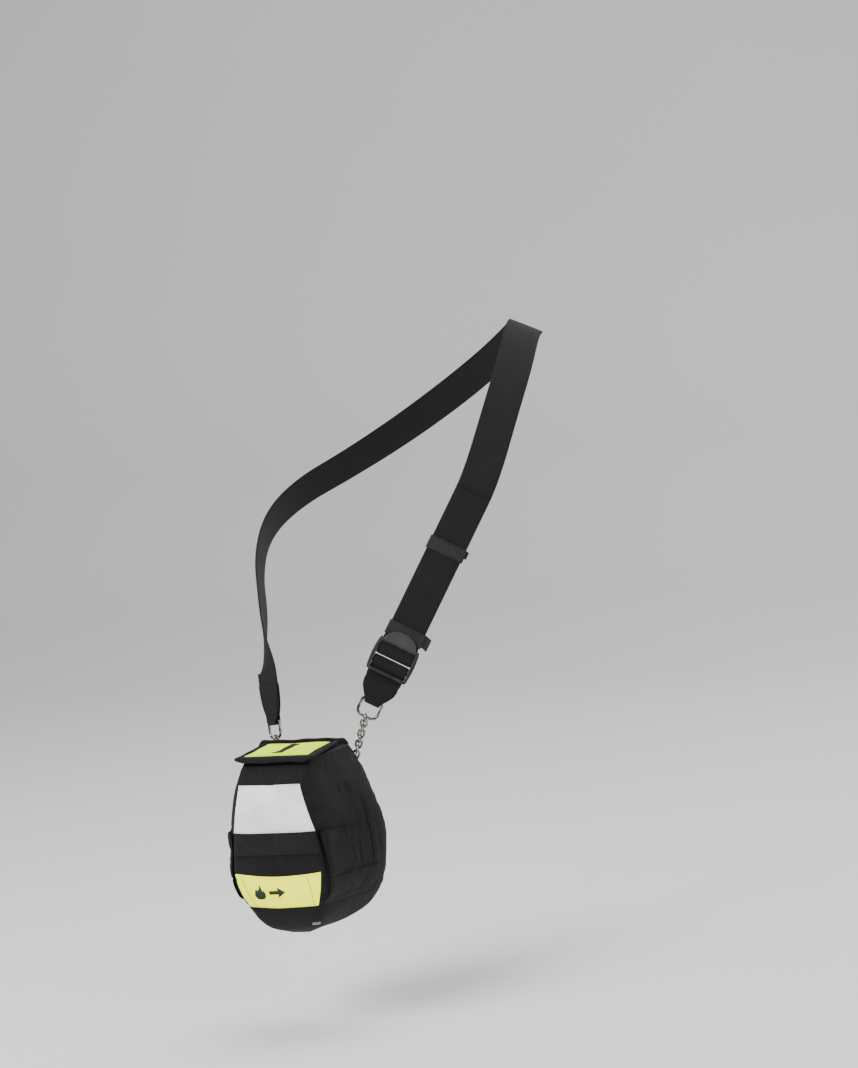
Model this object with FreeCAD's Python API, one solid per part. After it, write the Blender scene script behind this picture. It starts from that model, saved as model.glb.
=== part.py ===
import FreeCAD, Part
import math
import os
from FreeCAD import Vector

# Smoke hood, packed in its soft belt pouch and hung on a shoulder strap.
# Millimetres. +Z is up as worn, the pouch faces -Y, and its side panels face -X and +X.
# The origin is the top of the strap, where it lies over the wearer's shoulder.

# ---------------------------------------------------------------- driving sizes
# The pouch has its own origin: middle of its width, back face, bottom. This is where that point is.
POUCH_AT = Vector(-220, -240, -612)
WALL = 2.4                      # padded fabric of the pouch
BACK_CORNER = 0.97              # half width of the flat back, as a share of the widest half width
# Outline of the pouch, level by level: height, half width of the front, widest half width,
# y of the front face, y of the back face.
LEVELS = [
    (0, 10, 16, -62, -34),
    (4, 20, 32, -73, -20),
    (10, 28, 50, -82, -10),
    (20, 35, 65, -89, -3),
    (36, 42, 77, -96, 0),
    (56, 49.5, 84.5, -102, 0),
    (76, 53.5, 88, -105, 0),
    (98, 51.5, 88.5, -106, 0),
    (120, 47, 86, -106, 0),
    (145, 42, 78.5, -105.5, 0),
    (170, 37.5, 67, -101, 0),
    (182, 38, 60, -92, 0),
    (190, 38, 56, -80, 0),
]
BOWL_TOP = 36                   # the floor panel is a bowl up to this height
BOWL_FLOOR = 4                  # and this thick at its lowest point
POCKET_TOP = 98                 # the lower front panel ends here
BODY_TOP = 190
FRONT_LAYERS = {                # low z, high z, margin to the front's side edges, thickness
    "front_band": (95, 118, 3.0, 1.2),
    "reflective_label": (119.5, 168.5, 0.5, 0.6),
    "yellow_band": (38, 76, 2.5, 1.0),
}
SIDE_POCKET = (46, 118)         # low and high z of the second layer on a side panel
SIDE_POCKET_THICK = 1.2
SYMBOL_Z = 57                   # middle height of the marks on the yellow band
SYMBOL_THICK = 0.4
TOP_FRAME = 2.0                 # thickness of the flat frame round the mouth
MOUTH = (34, -66, -12)          # mouth: half width, front y, back y
CLOSURE_BOX = (-28, 28, -76, -67)       # hook and loop strips in front of the mouth: x, x, y, y
CLOSURE_THICK = 0.7
RIM_HALF = 52                   # the back panel's rim stands behind the lid
RIM_TOP = 199

BELT_LOOP_HALF = 36             # webbing loop on the back for a waist belt
BELT_SLOT = (54, 108)           # low and high z of the belt's way through
BELT_GAP = 5.4
BELT_SEWN = 14                  # the loop is sewn down this far above and below the way through
BELT_SEWN_THICK = 2
TAG_AT = (23.5, -88.7, 18)       # tape end at the front of the floor: left, front, top
TAG_SIZE = (10.5, 1.0, 4.5)

# Lid
LID_HALF = 43
LID_FRONT = -88
LID_HINGE_Y = -8
LID_BOTTOM = 193.5
LID_THICK = 3.0
LIP_DROP = 6.0                  # folded front edge of the lid
LIP_THICK = 2.6
PATCH = (36, -81, -13)          # patch on the lid: half width, front y, back y
PATCH_THICK = 0.8
TAB_WIDTH = 9.0
TAB_THICK = 1.2
TAB_BACK_Y = -22                # the tab is sewn down here and lifts from its front end
TAB_BARB = 4                    # the point at its free end stands out this far to one side

# Webbing and its fittings
WEB_WIDTH = 40.0
WEB_THICK = 2.2
STRAP_YAW = 19.9                # the strap's face is turned this far from the pouch's front
STRAP_PITCH = 6.2               # and tips back this far
STRAP_LEAN = 31.6               # and leans over towards the shoulder this far
FRONT_RUN_AT = Vector(-122.5, -224.6, -349.1)      # lower bar of the adjuster
WEB_LAYER_Y = 1.6               # middle of the load-bearing webbing behind the adjuster's bars
TAIL_LAYER_Y = -0.8             # middle of the adjusting tail in front of it
TAIL = (37, 216)                # the tail lies on the webbing between these heights
PIVOT_Z = 9.0                   # round bar that the lower webbing end turns on
CROSS_Z = 25.0                  # oblong bar that the strap is threaded round
BAR_R = 2.2
BAR_REACH = 2.0                 # the webbing's turns are drawn out this far above and below the bars
BAR_PLAY = 0.3                  # between a bar and the webbing round it
RAIL = (20.6, 24.8)             # inner and outer x of the adjuster's side rails
RAIL_Y = (-6.0, 2.5)
ADJUSTER_BOTTOM = -2.0
ADJUSTER_TOP = 36.0
LOW_PLATE = (-6.5, -3.7, 1.2)   # front y, back y and top z of the plate below the lower bar
THUMB_PLATE = (-6.6, -4.1)      # front and back y of the thumb tab
THUMB_CHORD_Z = 33.0
THUMB_TOP_Z = 48.0
THUMB_HALF = 19.0
KEEPERS = {                     # z, height, length of the sewn end, its rise above the low edge
    "lower_keeper": (40, 16, 7.0, 1.6),
    "upper_keeper": (142, 15, 2.4, 6.0),
}
KEEPER_THICK = 1.2
KEEPER_PLAY = 0.4               # between a keeper and the webbing in it
END_TAB_Z = -33.0               # centre of the ring's bar below the adjuster
END_TAB_Y = 3.6
END_TAB_HALF = 9.5              # half width of a webbing end at its ring
END_TAB_TOP_HALF = 19.8         # and where it has its full width
END_TAB_SHOULDERS = (0.55, 0.8)         # the taper bends and ends at these shares of its length
END_TAB_BEND_IN = 4             # half width given up at the bend
WIRE_R = 1.5                    # ring wire
STRAP_RING = (11.5, 18.0, 7.0)  # half width, depth, corner radius
POUCH_RING = (8.5, 14.0, 7.0)
LEFT_RING_AT = Vector(-258, -226, -395.5)     # bar of the ring at the strap's far end
LEFT_UP = Vector(-4, 6, 42)   # that end of the strap rises this way
LEFT_OUT = Vector(-0.6, -0.8, 0)        # and its face looks this way
LEFT_TAB = 38.0

# Chains
LINK_WIRE_R = 1.25
LINK_BEND_R = 3.2
LINK_STRAIGHT = 2.6
RIGHT_LINKS = 9
LEFT_LINKS = 5
RING_GAP = 0.3                  # play between a ring's wire and the link on it
POUCH_RING_X = {"right": 50, "left": -36}
POUCH_RING_BAR = (4.4, 158.5)   # y and z of the ring's bar on the pouch's back
POUCH_RING_TIP = 15             # the ring tips back this far, degrees
BOW_TURN = {"right": 22, "left": 0}     # the chain hangs this far round the bow's corner, degrees
RING_LOOP_HALF = 6.5            # webbing loop that holds the ring: half width, drop, thickness
RING_LOOP_DROP = 30
RING_LOOP_THICK = 2.0
RING_LOOP_WEDGE = 12            # the loop closes on the panel this far below the bar

# Strap route above the straight front run: points and which way the webbing's face looks there.
# It goes over the shoulder, down across the back and round the side to the far ring.
ROUTE = [
    ((2, -124, -84), (0.55, -0.35, 0.7)),
    ((9, -76, -34), (0.5, -0.1, 0.85)),
    ((6, -28, 0), (0.45, 0.1, 0.9)),
    ((-6, 28, 0), (0.4, 0.25, 0.9)),
    ((-30, 62, -13), (0.3, 0.45, 0.85)),
    ((-68, 82, -38), (0.2, 0.6, 0.75)),
    ((-120, 86, -72), (0.05, 0.8, 0.6)),
    ((-184, 72, -111), (-0.3, 0.85, 0.5)),
    ((-243, 40, -144), (-0.65, 0.65, 0.4)),
    ((-288, -8, -168), (-0.9, 0.3, 0.3)),
    ((-307, -66, -196), (-0.97, 0, 0.2)),
    ((-301, -120, -234), (-0.97, -0.02, 0.1)),
    ((-284, -160, -276), (-0.97, -0.03, 0.1)),
    ((-275, -188, -314), (-0.93, -0.33, 0.05)),
]
STATIONS_PER_POINT = 3
FRONT_RISES = (37, 190, 235)    # z of the control points on the straight front run
FAR_RISES = (24, 9, 1.2)        # and above the end tab at the far ring


# ---------------------------------------------------------------- small helpers
def box(x0, x1, y0, y1, z0, z1):
    return Part.makeBox(x1 - x0, y1 - y0, z1 - z0, Vector(x0, y0, z0))


def rod_x(radius, half_length, y, z):
    """Round bar along X, centred on the middle plane."""
    return Part.makeCylinder(radius, 2 * half_length, Vector(-half_length, y, z), Vector(1, 0, 0))


def oblong_x(radius, half_length, y, z, reach):
    """Bar along X whose round section is drawn out by reach above and below z."""
    rods = [rod_x(radius, half_length, y, z + end) for end in (-reach, reach)]
    core = box(-half_length, half_length, y - radius, y + radius, z - reach, z + reach)
    return fuse(rods + [core])


def rod_y(radius, y0, y1, x, z):
    return Part.makeCylinder(radius, y1 - y0, Vector(x, y0, z), Vector(0, 1, 0))


def tube_y(outer, inner, y0, y1, x, z):
    return rod_y(outer, y0, y1, x, z).cut(rod_y(inner, y0 - 1, y1 + 1, x, z))


def loft(wires, ruled=True):
    return Part.makeLoft(wires, True, ruled)


def polygon(points):
    return Part.makePolygon([Vector(*p) for p in points] + [Vector(*points[0])])


def prism(points, direction):
    """Flat outline pushed along a direction."""
    return Part.Face(polygon(points)).extrude(Vector(*direction))


def fuse(shapes):
    return shapes[0].multiFuse(shapes[1:]).removeSplitter()


def frame_placement(origin, x_axis, z_axis):
    """Local frame from its origin, its X direction and its Z direction."""
    z = Vector(z_axis).normalize()
    y = z.cross(Vector(x_axis)).normalize()
    x = y.cross(z)
    matrix = FreeCAD.Matrix(
        x.x, y.x, z.x, origin.x,
        x.y, y.y, z.y, origin.y,
        x.z, y.z, z.z, origin.z,
        0, 0, 0, 1)
    return FreeCAD.Placement(matrix)


def placed(shape, placement):
    return shape.transformed(placement.toMatrix())


def in_pouch(shape):
    return shape.translated(POUCH_AT)


NODES = {}


def keep(name, shape):
    NODES[name] = shape


# ---------------------------------------------------------------- pouch outline
def level_at(z):
    """Outline numbers at any height: front half, side half, front y, back y."""
    for low, high in zip(LEVELS, LEVELS[1:]):
        if z <= high[0]:
            share = (z - low[0]) / (high[0] - low[0])
            return [a + share * (b - a) for a, b in zip(low[1:], high[1:])]
    return list(LEVELS[-1][1:])


def heights(z0, z1):
    """The levels from z0 to z1, with both ends."""
    return [z0] + [row[0] for row in LEVELS if z0 < row[0] < z1] + [z1]


def side_points(z, inset=0.0, sign=1):
    """Four points of a side panel's outline, from the back corner to the front corner."""
    front, side, front_y, back_y = level_at(z)
    depth = back_y - front_y
    points = [
        (side * BACK_CORNER - inset, back_y - inset),
        (side - 0.07 * (side - front) - inset, back_y - 0.15 * depth),
        (side - 0.5 * (side - front) - inset, back_y - 0.55 * depth),
        (front - inset, front_y + inset),
    ]
    return [Vector(sign * x, y, z) for x, y in points]


def curve(points):
    spline = Part.BSplineCurve()
    spline.interpolate(points)
    return spline.toShape()


def outline_wire(z, inset=0.0, lift=0.0):
    """Closed outline of the pouch at one height."""
    right = side_points(z, inset, 1)
    left = side_points(z, inset, -1)
    rise = Vector(0, 0, lift)
    right = [p + rise for p in right]
    left = [p + rise for p in left]
    edges = [
        Part.makeLine(left[0], right[0]),
        curve(right),
        Part.makeLine(right[-1], left[-1]),
        curve(left),
    ]
    return Part.Wire(Part.sortEdges(edges)[0])


def strip_wire(outer, inner):
    """Thin closed section between an outer and an inner run of points."""
    edges = [
        curve(outer),
        Part.makeLine(outer[-1], inner[-1]),
        curve(inner),
        Part.makeLine(inner[0], outer[0]),
    ]
    return Part.Wire(Part.sortEdges(edges)[0])


# ---------------------------------------------------------------- pouch panels
def flat_panel(z0, z1, half_at, y_outer_at, thick, mitre=0.0):
    """Front or back panel: a thin straight section lofted up through the levels."""
    wires = []
    for z in heights(z0, z1):
        half = half_at(z)
        y = y_outer_at(z)
        wires.append(polygon([
            (-half, y, z), (half, y, z), (half - mitre, y + thick, z), (-half + mitre, y + thick, z)]))
    return loft(wires)


def front_half(z):
    return level_at(z)[0]


def front_y(z):
    return level_at(z)[2]


def side_panel(z0, z1, sign):
    wires = [strip_wire(side_points(z, 0, sign), side_points(z, WALL, sign)) for z in heights(z0, z1)]
    return loft(wires)


def side_pocket(z0, z1, sign, proud):
    """Second layer sewn over a side panel."""
    wires = []
    for z in heights(z0, z1):
        inner = side_points(z, 0, sign)
        outer = [
            inner[0] + Vector(sign * proud, 0, 0),
            inner[1] + Vector(sign * proud, 0, 0),
            inner[2] + Vector(sign * proud, -0.3 * proud, 0),
            inner[3] + Vector(sign * proud, 0, 0),
        ]
        wires.append(strip_wire(outer, inner))
    return loft(wires)


def bowl():
    """Floor panel: its inside is the same outline, drawn in and raised by the wall."""
    outer = loft([outline_wire(z) for z in heights(0, BOWL_TOP)])
    above_floor = heights(BOWL_FLOOR, BOWL_TOP)
    inner = loft([outline_wire(z, WALL, WALL if z < BOWL_TOP else 0.5) for z in above_floor])
    return outer.cut(inner)


def overlay(z0, z1, margin, thick):
    """Layer sewn on the pouch's front."""
    wires = []
    for z in heights(z0, z1):
        half = front_half(z) - margin
        y = front_y(z)
        wires.append(polygon([(-half, y - thick, z), (half, y - thick, z), (half, y, z), (-half, y, z)]))
    return loft(wires)


def build_pouch():
    keep("bottom_panel", in_pouch(bowl()))
    keep("front_pocket", in_pouch(flat_panel(BOWL_TOP, POCKET_TOP, front_half, front_y, WALL, WALL)))
    keep("front_panel", in_pouch(flat_panel(POCKET_TOP, BODY_TOP, front_half, front_y, WALL, WALL)))
    keep("back_panel", in_pouch(back_panel()))
    for name, sign in (("right", 1), ("left", -1)):
        keep(name + "_gusset", in_pouch(side_panel(BOWL_TOP, BODY_TOP, sign)))
        keep(name + "_side_pocket", in_pouch(side_pocket(*SIDE_POCKET, sign, SIDE_POCKET_THICK)))
    build_mouth_frame()
    build_front_layers()


def back_panel():
    """Flat back, cut off square at y = 0, with the rim that stands behind the lid."""
    back_half = lambda z: level_at(z)[1] * BACK_CORNER - WALL
    back = flat_panel(BOWL_TOP, BODY_TOP, back_half, lambda z: -WALL, WALL + 1, -WALL - 1)
    back = back.common(box(-100, 100, -WALL - 1, 0, BOWL_TOP, BODY_TOP))
    rim = box(-RIM_HALF, RIM_HALF, -WALL, 0, BODY_TOP, RIM_TOP)
    return fuse([back, rim])


def build_mouth_frame():
    """Flat frame round the mouth, inside the side panels' top edge."""
    half, y0, y1 = MOUTH
    plate = Part.Face(outline_wire(BODY_TOP)).extrude(Vector(0, 0, TOP_FRAME))
    hole = box(-half, half, y0, y1, BODY_TOP - 1, BODY_TOP + TOP_FRAME + 1)
    rim_room = box(-100, 100, -WALL, 1, BODY_TOP - 1, BODY_TOP + TOP_FRAME + 1)
    keep("mouth_frame", in_pouch(plate.cut(hole).cut(rim_room)))
    strip_z = BODY_TOP + TOP_FRAME
    keep("front_loop_strip", in_pouch(box(*CLOSURE_BOX, strip_z, strip_z + CLOSURE_THICK)))


def build_front_layers():
    for name, (low, high, margin, thick) in FRONT_LAYERS.items():
        keep(name, in_pouch(overlay(low, high, margin, thick)))
    marks = [flame(-24, SYMBOL_Z), arrow(-4, SYMBOL_Z)]
    keep("band_symbols", in_pouch(Part.Compound(marks)))
    keep("seam_tag", in_pouch(seam_tag()))


def seam_tag():
    """Small tape end that hangs out of the floor's front seam."""
    x, y, z = TAG_AT
    width, thick, drop = TAG_SIZE
    return box(x, x + width, y, y + thick, z - drop, z)


def symbol_plate(outline):
    """Thin printed mark on the yellow band, cut to the band's own slope."""
    high, band_thick = FRONT_LAYERS["yellow_band"][1], FRONT_LAYERS["yellow_band"][3]
    lean = (front_y(high) - front_y(SYMBOL_Z)) / (high - SYMBOL_Z)
    face_y = front_y(SYMBOL_Z) - band_thick
    points = [(x, face_y + lean * (z - SYMBOL_Z), z) for x, z in outline]
    return prism(points, (0, -SYMBOL_THICK, 0))


def flame(x, z):
    """Plain pointed flame."""
    return symbol_plate([
        (x, z - 8), (x + 5, z - 6), (x + 6, z), (x + 3.5, z + 3), (x + 1, z + 9),
        (x - 1.5, z + 3), (x - 4, z + 4), (x - 6, z - 1), (x - 4.5, z - 6)])


def arrow(x, z):
    """Plain arrow towards the side."""
    return symbol_plate([
        (x - 9, z - 2.2), (x + 1, z - 2.2), (x + 1, z - 6), (x + 9, z),
        (x + 1, z + 6), (x + 1, z + 2.2), (x - 9, z + 2.2)])


# ---------------------------------------------------------------- lid
def build_lid():
    top = LID_BOTTOM + LID_THICK
    slab = box(-LID_HALF, LID_HALF, LID_FRONT, LID_HINGE_Y, LID_BOTTOM, top)
    keep("lid_panel", in_pouch(slab))
    lip = box(-LID_HALF, LID_HALF, LID_FRONT - LIP_THICK, LID_FRONT, top - LIP_DROP, top)
    keep("lid_binding", in_pouch(lip))
    half, y0, y1 = PATCH
    keep("lid_patch", in_pouch(box(-half, half, y0, y1, top, top + PATCH_THICK)))
    keep("lid_hook_strip", in_pouch(box(*CLOSURE_BOX, LID_BOTTOM - CLOSURE_THICK, LID_BOTTOM)))
    keep("pull_tab", in_pouch(pull_tab(top + PATCH_THICK + 0.1)))


def pull_tab(z):
    """Narrow strip that lies across the patch, with a pointed free end."""
    half = TAB_WIDTH / 2
    back = TAB_BACK_Y
    front = PATCH[1]
    barb = TAB_BARB
    outline = [
        (-half, back, z), (half, back, z), (half, front + 0.75 * barb, z), (-half, front + 0.25 * barb, z),
        (-half - barb, front + 0.5 * barb, z), (-half, front + 2 * barb, z)]
    return prism(outline, (0, 0, TAB_THICK))


# ---------------------------------------------------------------- rings, loops and chains
def d_ring(half, depth, corner):
    """Ring in its own frame: straight bar along X through the origin, bow below it."""
    z_corner = -depth + corner
    outline = [
        Part.makeLine(Vector(-half, 0, 0), Vector(half, 0, 0)),
        Part.makeLine(Vector(half, 0, 0), Vector(half, 0, z_corner)),
        Part.Arc(Vector(half, 0, z_corner),
                 Vector(half - corner + corner * math.sqrt(0.5), 0, z_corner - corner * math.sqrt(0.5)),
                 Vector(half - corner, 0, -depth)).toShape(),
        Part.makeLine(Vector(half - corner, 0, -depth), Vector(-half + corner, 0, -depth)),
        Part.Arc(Vector(-half + corner, 0, -depth),
                 Vector(-half + corner - corner * math.sqrt(0.5), 0, z_corner - corner * math.sqrt(0.5)),
                 Vector(-half, 0, z_corner)).toShape(),
        Part.makeLine(Vector(-half, 0, z_corner), Vector(-half, 0, 0)),
    ]
    rods = []
    for edge in outline:
        start = edge.valueAt(edge.FirstParameter)
        tangent = edge.tangentAt(edge.FirstParameter)
        section = Part.Wire(Part.makeCircle(WIRE_R, start, tangent))
        rods.append(Part.Wire(edge).makePipeShell([section], True, False))
    corners = [Part.makeSphere(WIRE_R, Vector(x, 0, 0)) for x in (-half, half)]
    return fuse(rods + corners)


def link():
    """One oval chain link, long way along Z, lying in the XZ plane."""
    parts = []
    for sign in (1, -1):
        centre = Vector(0, 0, sign * LINK_STRAIGHT / 2)
        ring = Part.makeTorus(LINK_BEND_R, LINK_WIRE_R, Vector(0, 0, 0), Vector(0, 1, 0))
        half_space = box(-10, 10, -10, 10, 0 if sign > 0 else -10, 10 if sign > 0 else 0)
        parts.append(ring.common(half_space).translated(centre))
        side = Vector(sign * LINK_BEND_R, 0, -LINK_STRAIGHT / 2)
        parts.append(Part.makeCylinder(LINK_WIRE_R, LINK_STRAIGHT, side, Vector(0, 0, 1)))
    return fuse(parts)


def chain(start, end, count, wire_direction):
    """Straight chain between two ring wires. Its first link stands across the start wire."""
    along = (end - start)
    length = along.Length
    along.normalize()
    inner_half = LINK_STRAIGHT / 2 + LINK_BEND_R - LINK_WIRE_R
    first = inner_half - WIRE_R - RING_GAP
    pitch = (length - 2 * first) / (count - 1)
    across = along.cross(wire_direction).normalize()
    normal = across.cross(along)
    links = []
    for index in range(count):
        centre = start + along * (first + pitch * index)
        x_axis = across if index % 2 == 0 else normal
        links.append(placed(link(), frame_placement(centre, x_axis, along)))
    print("chain of", count, "pitch", round(pitch, 2), "length", round(length, 1))
    return Part.Compound(links)


def pouch_ring_frame(name):
    """Ring on the pouch's back: its bow points up and tips back."""
    tip = math.radians(POUCH_RING_TIP)
    y, z = POUCH_RING_BAR
    origin = POUCH_AT + Vector(POUCH_RING_X[name], y, z)
    return frame_placement(origin, Vector(1, 0, 0), Vector(0, -math.sin(tip), -math.cos(tip)))


def ring_loop(name):
    """Webbing loop on the back panel that holds a ring's bar."""
    x = POUCH_RING_X[name]
    y, z = POUCH_RING_BAR
    half = RING_LOOP_HALF
    left = x - half
    foot = z - RING_LOOP_WEDGE
    sewn = box(left, x + half, 0, RING_LOOP_THICK, z - RING_LOOP_DROP, foot + 1)
    eye = rod_x(y, half, y, z).translated(Vector(x, 0, 0))
    side = [(left, 0, z), (left, 0, foot), (left, RING_LOOP_THICK, foot), (left, 2 * y - 0.6, z - 2)]
    wedge = prism(side, (2 * half, 0, 0))
    hole = rod_x(WIRE_R + RING_GAP, 2 * half, y, z).translated(Vector(x, 0, 0))
    return fuse([sewn, eye, wedge]).cut(hole)


def bow_point(placement, ring, turn=0):
    """Point of a ring's bow where its wire has turned this far, in degrees; 0 is the bow's middle."""
    half, depth, corner = ring
    angle = math.radians(turn)
    x = half - corner + corner * math.sin(angle) if turn else 0
    return placement.multVec(Vector(x, 0, -depth + corner * (1 - math.cos(angle))))


def build_connections(front_run, left_run):
    ring_at_right = frame_placement(
        front_run.multVec(Vector(0, END_TAB_Y, END_TAB_Z)),
        front_run.Rotation.multVec(Vector(1, 0, 0)), front_run.Rotation.multVec(Vector(0, 0, 1)))
    strap_side = {"right": ring_at_right, "left": left_run}
    counts = {"right": RIGHT_LINKS, "left": LEFT_LINKS}
    for name in ("right", "left"):
        low = pouch_ring_frame(name)
        high = strap_side[name]
        keep(name + "_pouch_ring", placed(d_ring(*POUCH_RING), low))
        keep(name + "_ring_loop", in_pouch(ring_loop(name)))
        keep(name + "_strap_ring", placed(d_ring(*STRAP_RING), high))
        start = bow_point(low, POUCH_RING, BOW_TURN[name])
        end = bow_point(high, STRAP_RING)
        bar = high.Rotation.multVec(Vector(1, 0, 0))
        keep(name + "_chain", chain(start, end, counts[name], bar + Vector(1, 0, 0)))
        print(name, "bow of the strap's ring", [round(v, 1) for v in end])


# ---------------------------------------------------------------- strap
def front_run_frame():
    """Frame of the straight front run: X across the webbing, -Y outward, Z up along it."""
    yaw, pitch, lean = (math.radians(a) for a in (STRAP_YAW, STRAP_PITCH, STRAP_LEAN))
    right = Vector(math.cos(yaw), math.sin(yaw), 0)
    outward = Vector(math.sin(yaw) * math.cos(pitch), -math.cos(yaw) * math.cos(pitch), math.sin(pitch))
    up = outward.cross(right)
    x_axis = right * math.cos(lean) - up * math.sin(lean)
    z_axis = right * math.sin(lean) + up * math.cos(lean)
    return frame_placement(FRONT_RUN_AT, x_axis, z_axis)


def left_run_frame():
    out = Vector(LEFT_OUT).normalize()
    up = Vector(LEFT_UP).normalize()
    return frame_placement(LEFT_RING_AT, up.cross(out), up)


def quadratic_spline(values, per_point):
    """Smooth line inside a list of control values, from the first to the last."""
    middles = [values[0]] + [(a + b) * 0.5 for a, b in zip(values[1:], values[2:-1])] + [values[-1]]
    line = []
    for index in range(len(middles) - 1):
        start, bend, end = middles[index], values[index + 1], middles[index + 1]
        for step in range(per_point):
            share = step / per_point
            line.append(start * (1 - share) ** 2 + bend * (2 * share * (1 - share)) + end * share ** 2)
    line.append(middles[-1])
    return line


def band(points, normals):
    """Flat webbing that follows a line, each station square to it and facing its normal."""
    wires = []
    for index, point in enumerate(points):
        before = points[max(index - 1, 0)]
        after = points[min(index + 1, len(points) - 1)]
        along = (after - before).normalize()
        across = along.cross(normals[index]).normalize() * (WEB_WIDTH / 2)
        out = across.cross(along).normalize() * (WEB_THICK / 2)
        wires.append(Part.makePolygon([
            point - across - out, point + across - out, point + across + out,
            point - across + out, point - across - out]))
    return loft(wires)


def strap_stations(front_run, left_run):
    outward = front_run.Rotation.multVec(Vector(0, -1, 0))
    straight = [front_run.multVec(Vector(0, WEB_LAYER_Y, z)) for z in FRONT_RISES]
    far = [left_run.multVec(Vector(0, 0, LEFT_TAB + rise)) for rise in FAR_RISES]
    far_out = left_run.Rotation.multVec(Vector(0, -1, 0))
    points = straight + [Vector(*p) for p, n in ROUTE] + far
    normals = [outward] * len(straight) + [Vector(*n) for p, n in ROUTE] + [far_out] * len(far)
    line = quadratic_spline(points, STATIONS_PER_POINT)
    faces = quadratic_spline(normals, STATIONS_PER_POINT)
    return line, faces


def end_tab_flat(top):
    """Tapered flat webbing end with a tunnel for its ring's bar. The bar is at the origin."""
    half_top = END_TAB_TOP_HALF
    thick = 2 * WEB_THICK
    bend, shoulder = (share * top for share in END_TAB_SHOULDERS)
    right = [(END_TAB_HALF, 0), (half_top - END_TAB_BEND_IN, bend), (half_top, shoulder), (half_top, top)]
    left = [(-x, z) for x, z in reversed(right)]
    flat = prism([(x, -thick / 2, z) for x, z in right + left], (0, thick, 0))
    hole_r = WIRE_R + RING_GAP
    eye = rod_x(hole_r + WEB_THICK, END_TAB_HALF, 0, 0)
    return fuse([flat, eye]).cut(rod_x(hole_r, 2 * END_TAB_HALF, 0, 0))


def right_end_tab():
    """Tapered end whose top turns round the adjuster's lower bar."""
    flat = end_tab_flat(-END_TAB_Z - 4).translated(Vector(0, END_TAB_Y, END_TAB_Z))
    half = END_TAB_TOP_HALF
    low = END_TAB_Y - WEB_THICK
    high = END_TAB_Y + WEB_THICK
    hole_r = BAR_R + BAR_PLAY
    turn_r = hole_r + WEB_THICK
    side = [
        (low, -5), (high, -5), (high, 2), (turn_r - 0.5, PIVOT_Z + BAR_REACH),
        (0.9 - turn_r, PIVOT_Z - 2.6), (low, -2)]
    wedge = prism([(-half, y, z) for y, z in side], (2 * half, 0, 0))
    turn = oblong_x(turn_r, half, 0, PIVOT_Z, BAR_REACH)
    return fuse([flat, wedge, turn]).cut(rod_x(hole_r, 2 * half, 0, PIVOT_Z))


def adjuster():
    """Ladder-lock: two side rails, three bars and a half-round thumb tab."""
    inner, outer = RAIL
    parts = [box(x, x + outer - inner, *RAIL_Y, ADJUSTER_BOTTOM, ADJUSTER_TOP) for x in (inner, -outer)]
    parts.append(rod_x(BAR_R, inner + 1, 0, PIVOT_Z))
    parts.append(oblong_x(BAR_R, inner + 1, 0, CROSS_Z, BAR_REACH))
    plate_front, plate_back, plate_top = LOW_PLATE
    parts.append(box(-outer, outer, plate_front, plate_back, ADJUSTER_BOTTOM, plate_top))
    parts.append(box(-outer, outer, *THUMB_PLATE, THUMB_CHORD_Z - 1, ADJUSTER_TOP))
    parts.append(thumb_tab(*THUMB_PLATE))
    return fuse(parts)


def thumb_tab(front, back):
    """Half-round end of the adjuster."""
    left = Vector(-THUMB_HALF, front, THUMB_CHORD_Z)
    right = Vector(THUMB_HALF, front, THUMB_CHORD_Z)
    arc = Part.Arc(right, Vector(0, front, THUMB_TOP_Z), left).toShape()
    chord = Part.makeLine(left, right)
    return Part.Face(Part.Wire([arc, chord])).extrude(Vector(0, back - front, 0))


def adjuster_wrap():
    """The turn of webbing round the cross bar, open where both layers leave it."""
    half = WEB_WIDTH / 2
    hole_r = BAR_R + BAR_PLAY
    turn = oblong_x(hole_r + WEB_THICK, half, 0, CROSS_Z, BAR_REACH)
    turn = turn.cut(oblong_x(hole_r, 2 * half, 0, CROSS_Z, BAR_REACH))
    return turn.cut(box(-half - 1, half + 1, 0.5, 10, CROSS_Z, CROSS_Z + 10))


def keeper(z, height, end_length, end_rise):
    """Flat loop round the webbing and the tail, with its two ends sewn together at +X."""
    x = WEB_WIDTH / 2 + KEEPER_PLAY
    y0 = TAIL_LAYER_Y - WEB_THICK / 2 - KEEPER_PLAY
    y1 = WEB_LAYER_Y + WEB_THICK / 2 + KEEPER_PLAY
    t = KEEPER_THICK
    loop = box(-x - t, x + t, y0 - t, y1 + t, z, z + height).cut(box(-x, x, y0, y1, z - 1, z + height + 1))
    end = box(x + t / 2, x + t + end_length, -t, t, z + end_rise, z + height)
    return fuse([loop, end])


def build_strap(front_run, left_run):
    line, faces = strap_stations(front_run, left_run)
    keep("strap_webbing", band(line, faces))
    length = sum((b - a).Length for a, b in zip(line, line[1:]))
    solid = NODES["strap_webbing"]
    share = solid.Volume / (length * WEB_WIDTH * WEB_THICK)
    print("strap length", round(length), "volume share", round(share, 3))
    half = WEB_WIDTH / 2
    y0 = TAIL_LAYER_Y - WEB_THICK / 2
    keep("strap_tail", placed(box(-half, half, y0, y0 + WEB_THICK, *TAIL), front_run))
    keep("right_end_tab", placed(right_end_tab(), front_run))
    keep("left_end_tab", placed(end_tab_flat(LEFT_TAB), left_run))
    keep("adjuster", placed(adjuster(), front_run))
    keep("adjuster_wrap", placed(adjuster_wrap(), front_run))
    for name, sizes in KEEPERS.items():
        keep(name, placed(keeper(*sizes), front_run))


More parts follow.
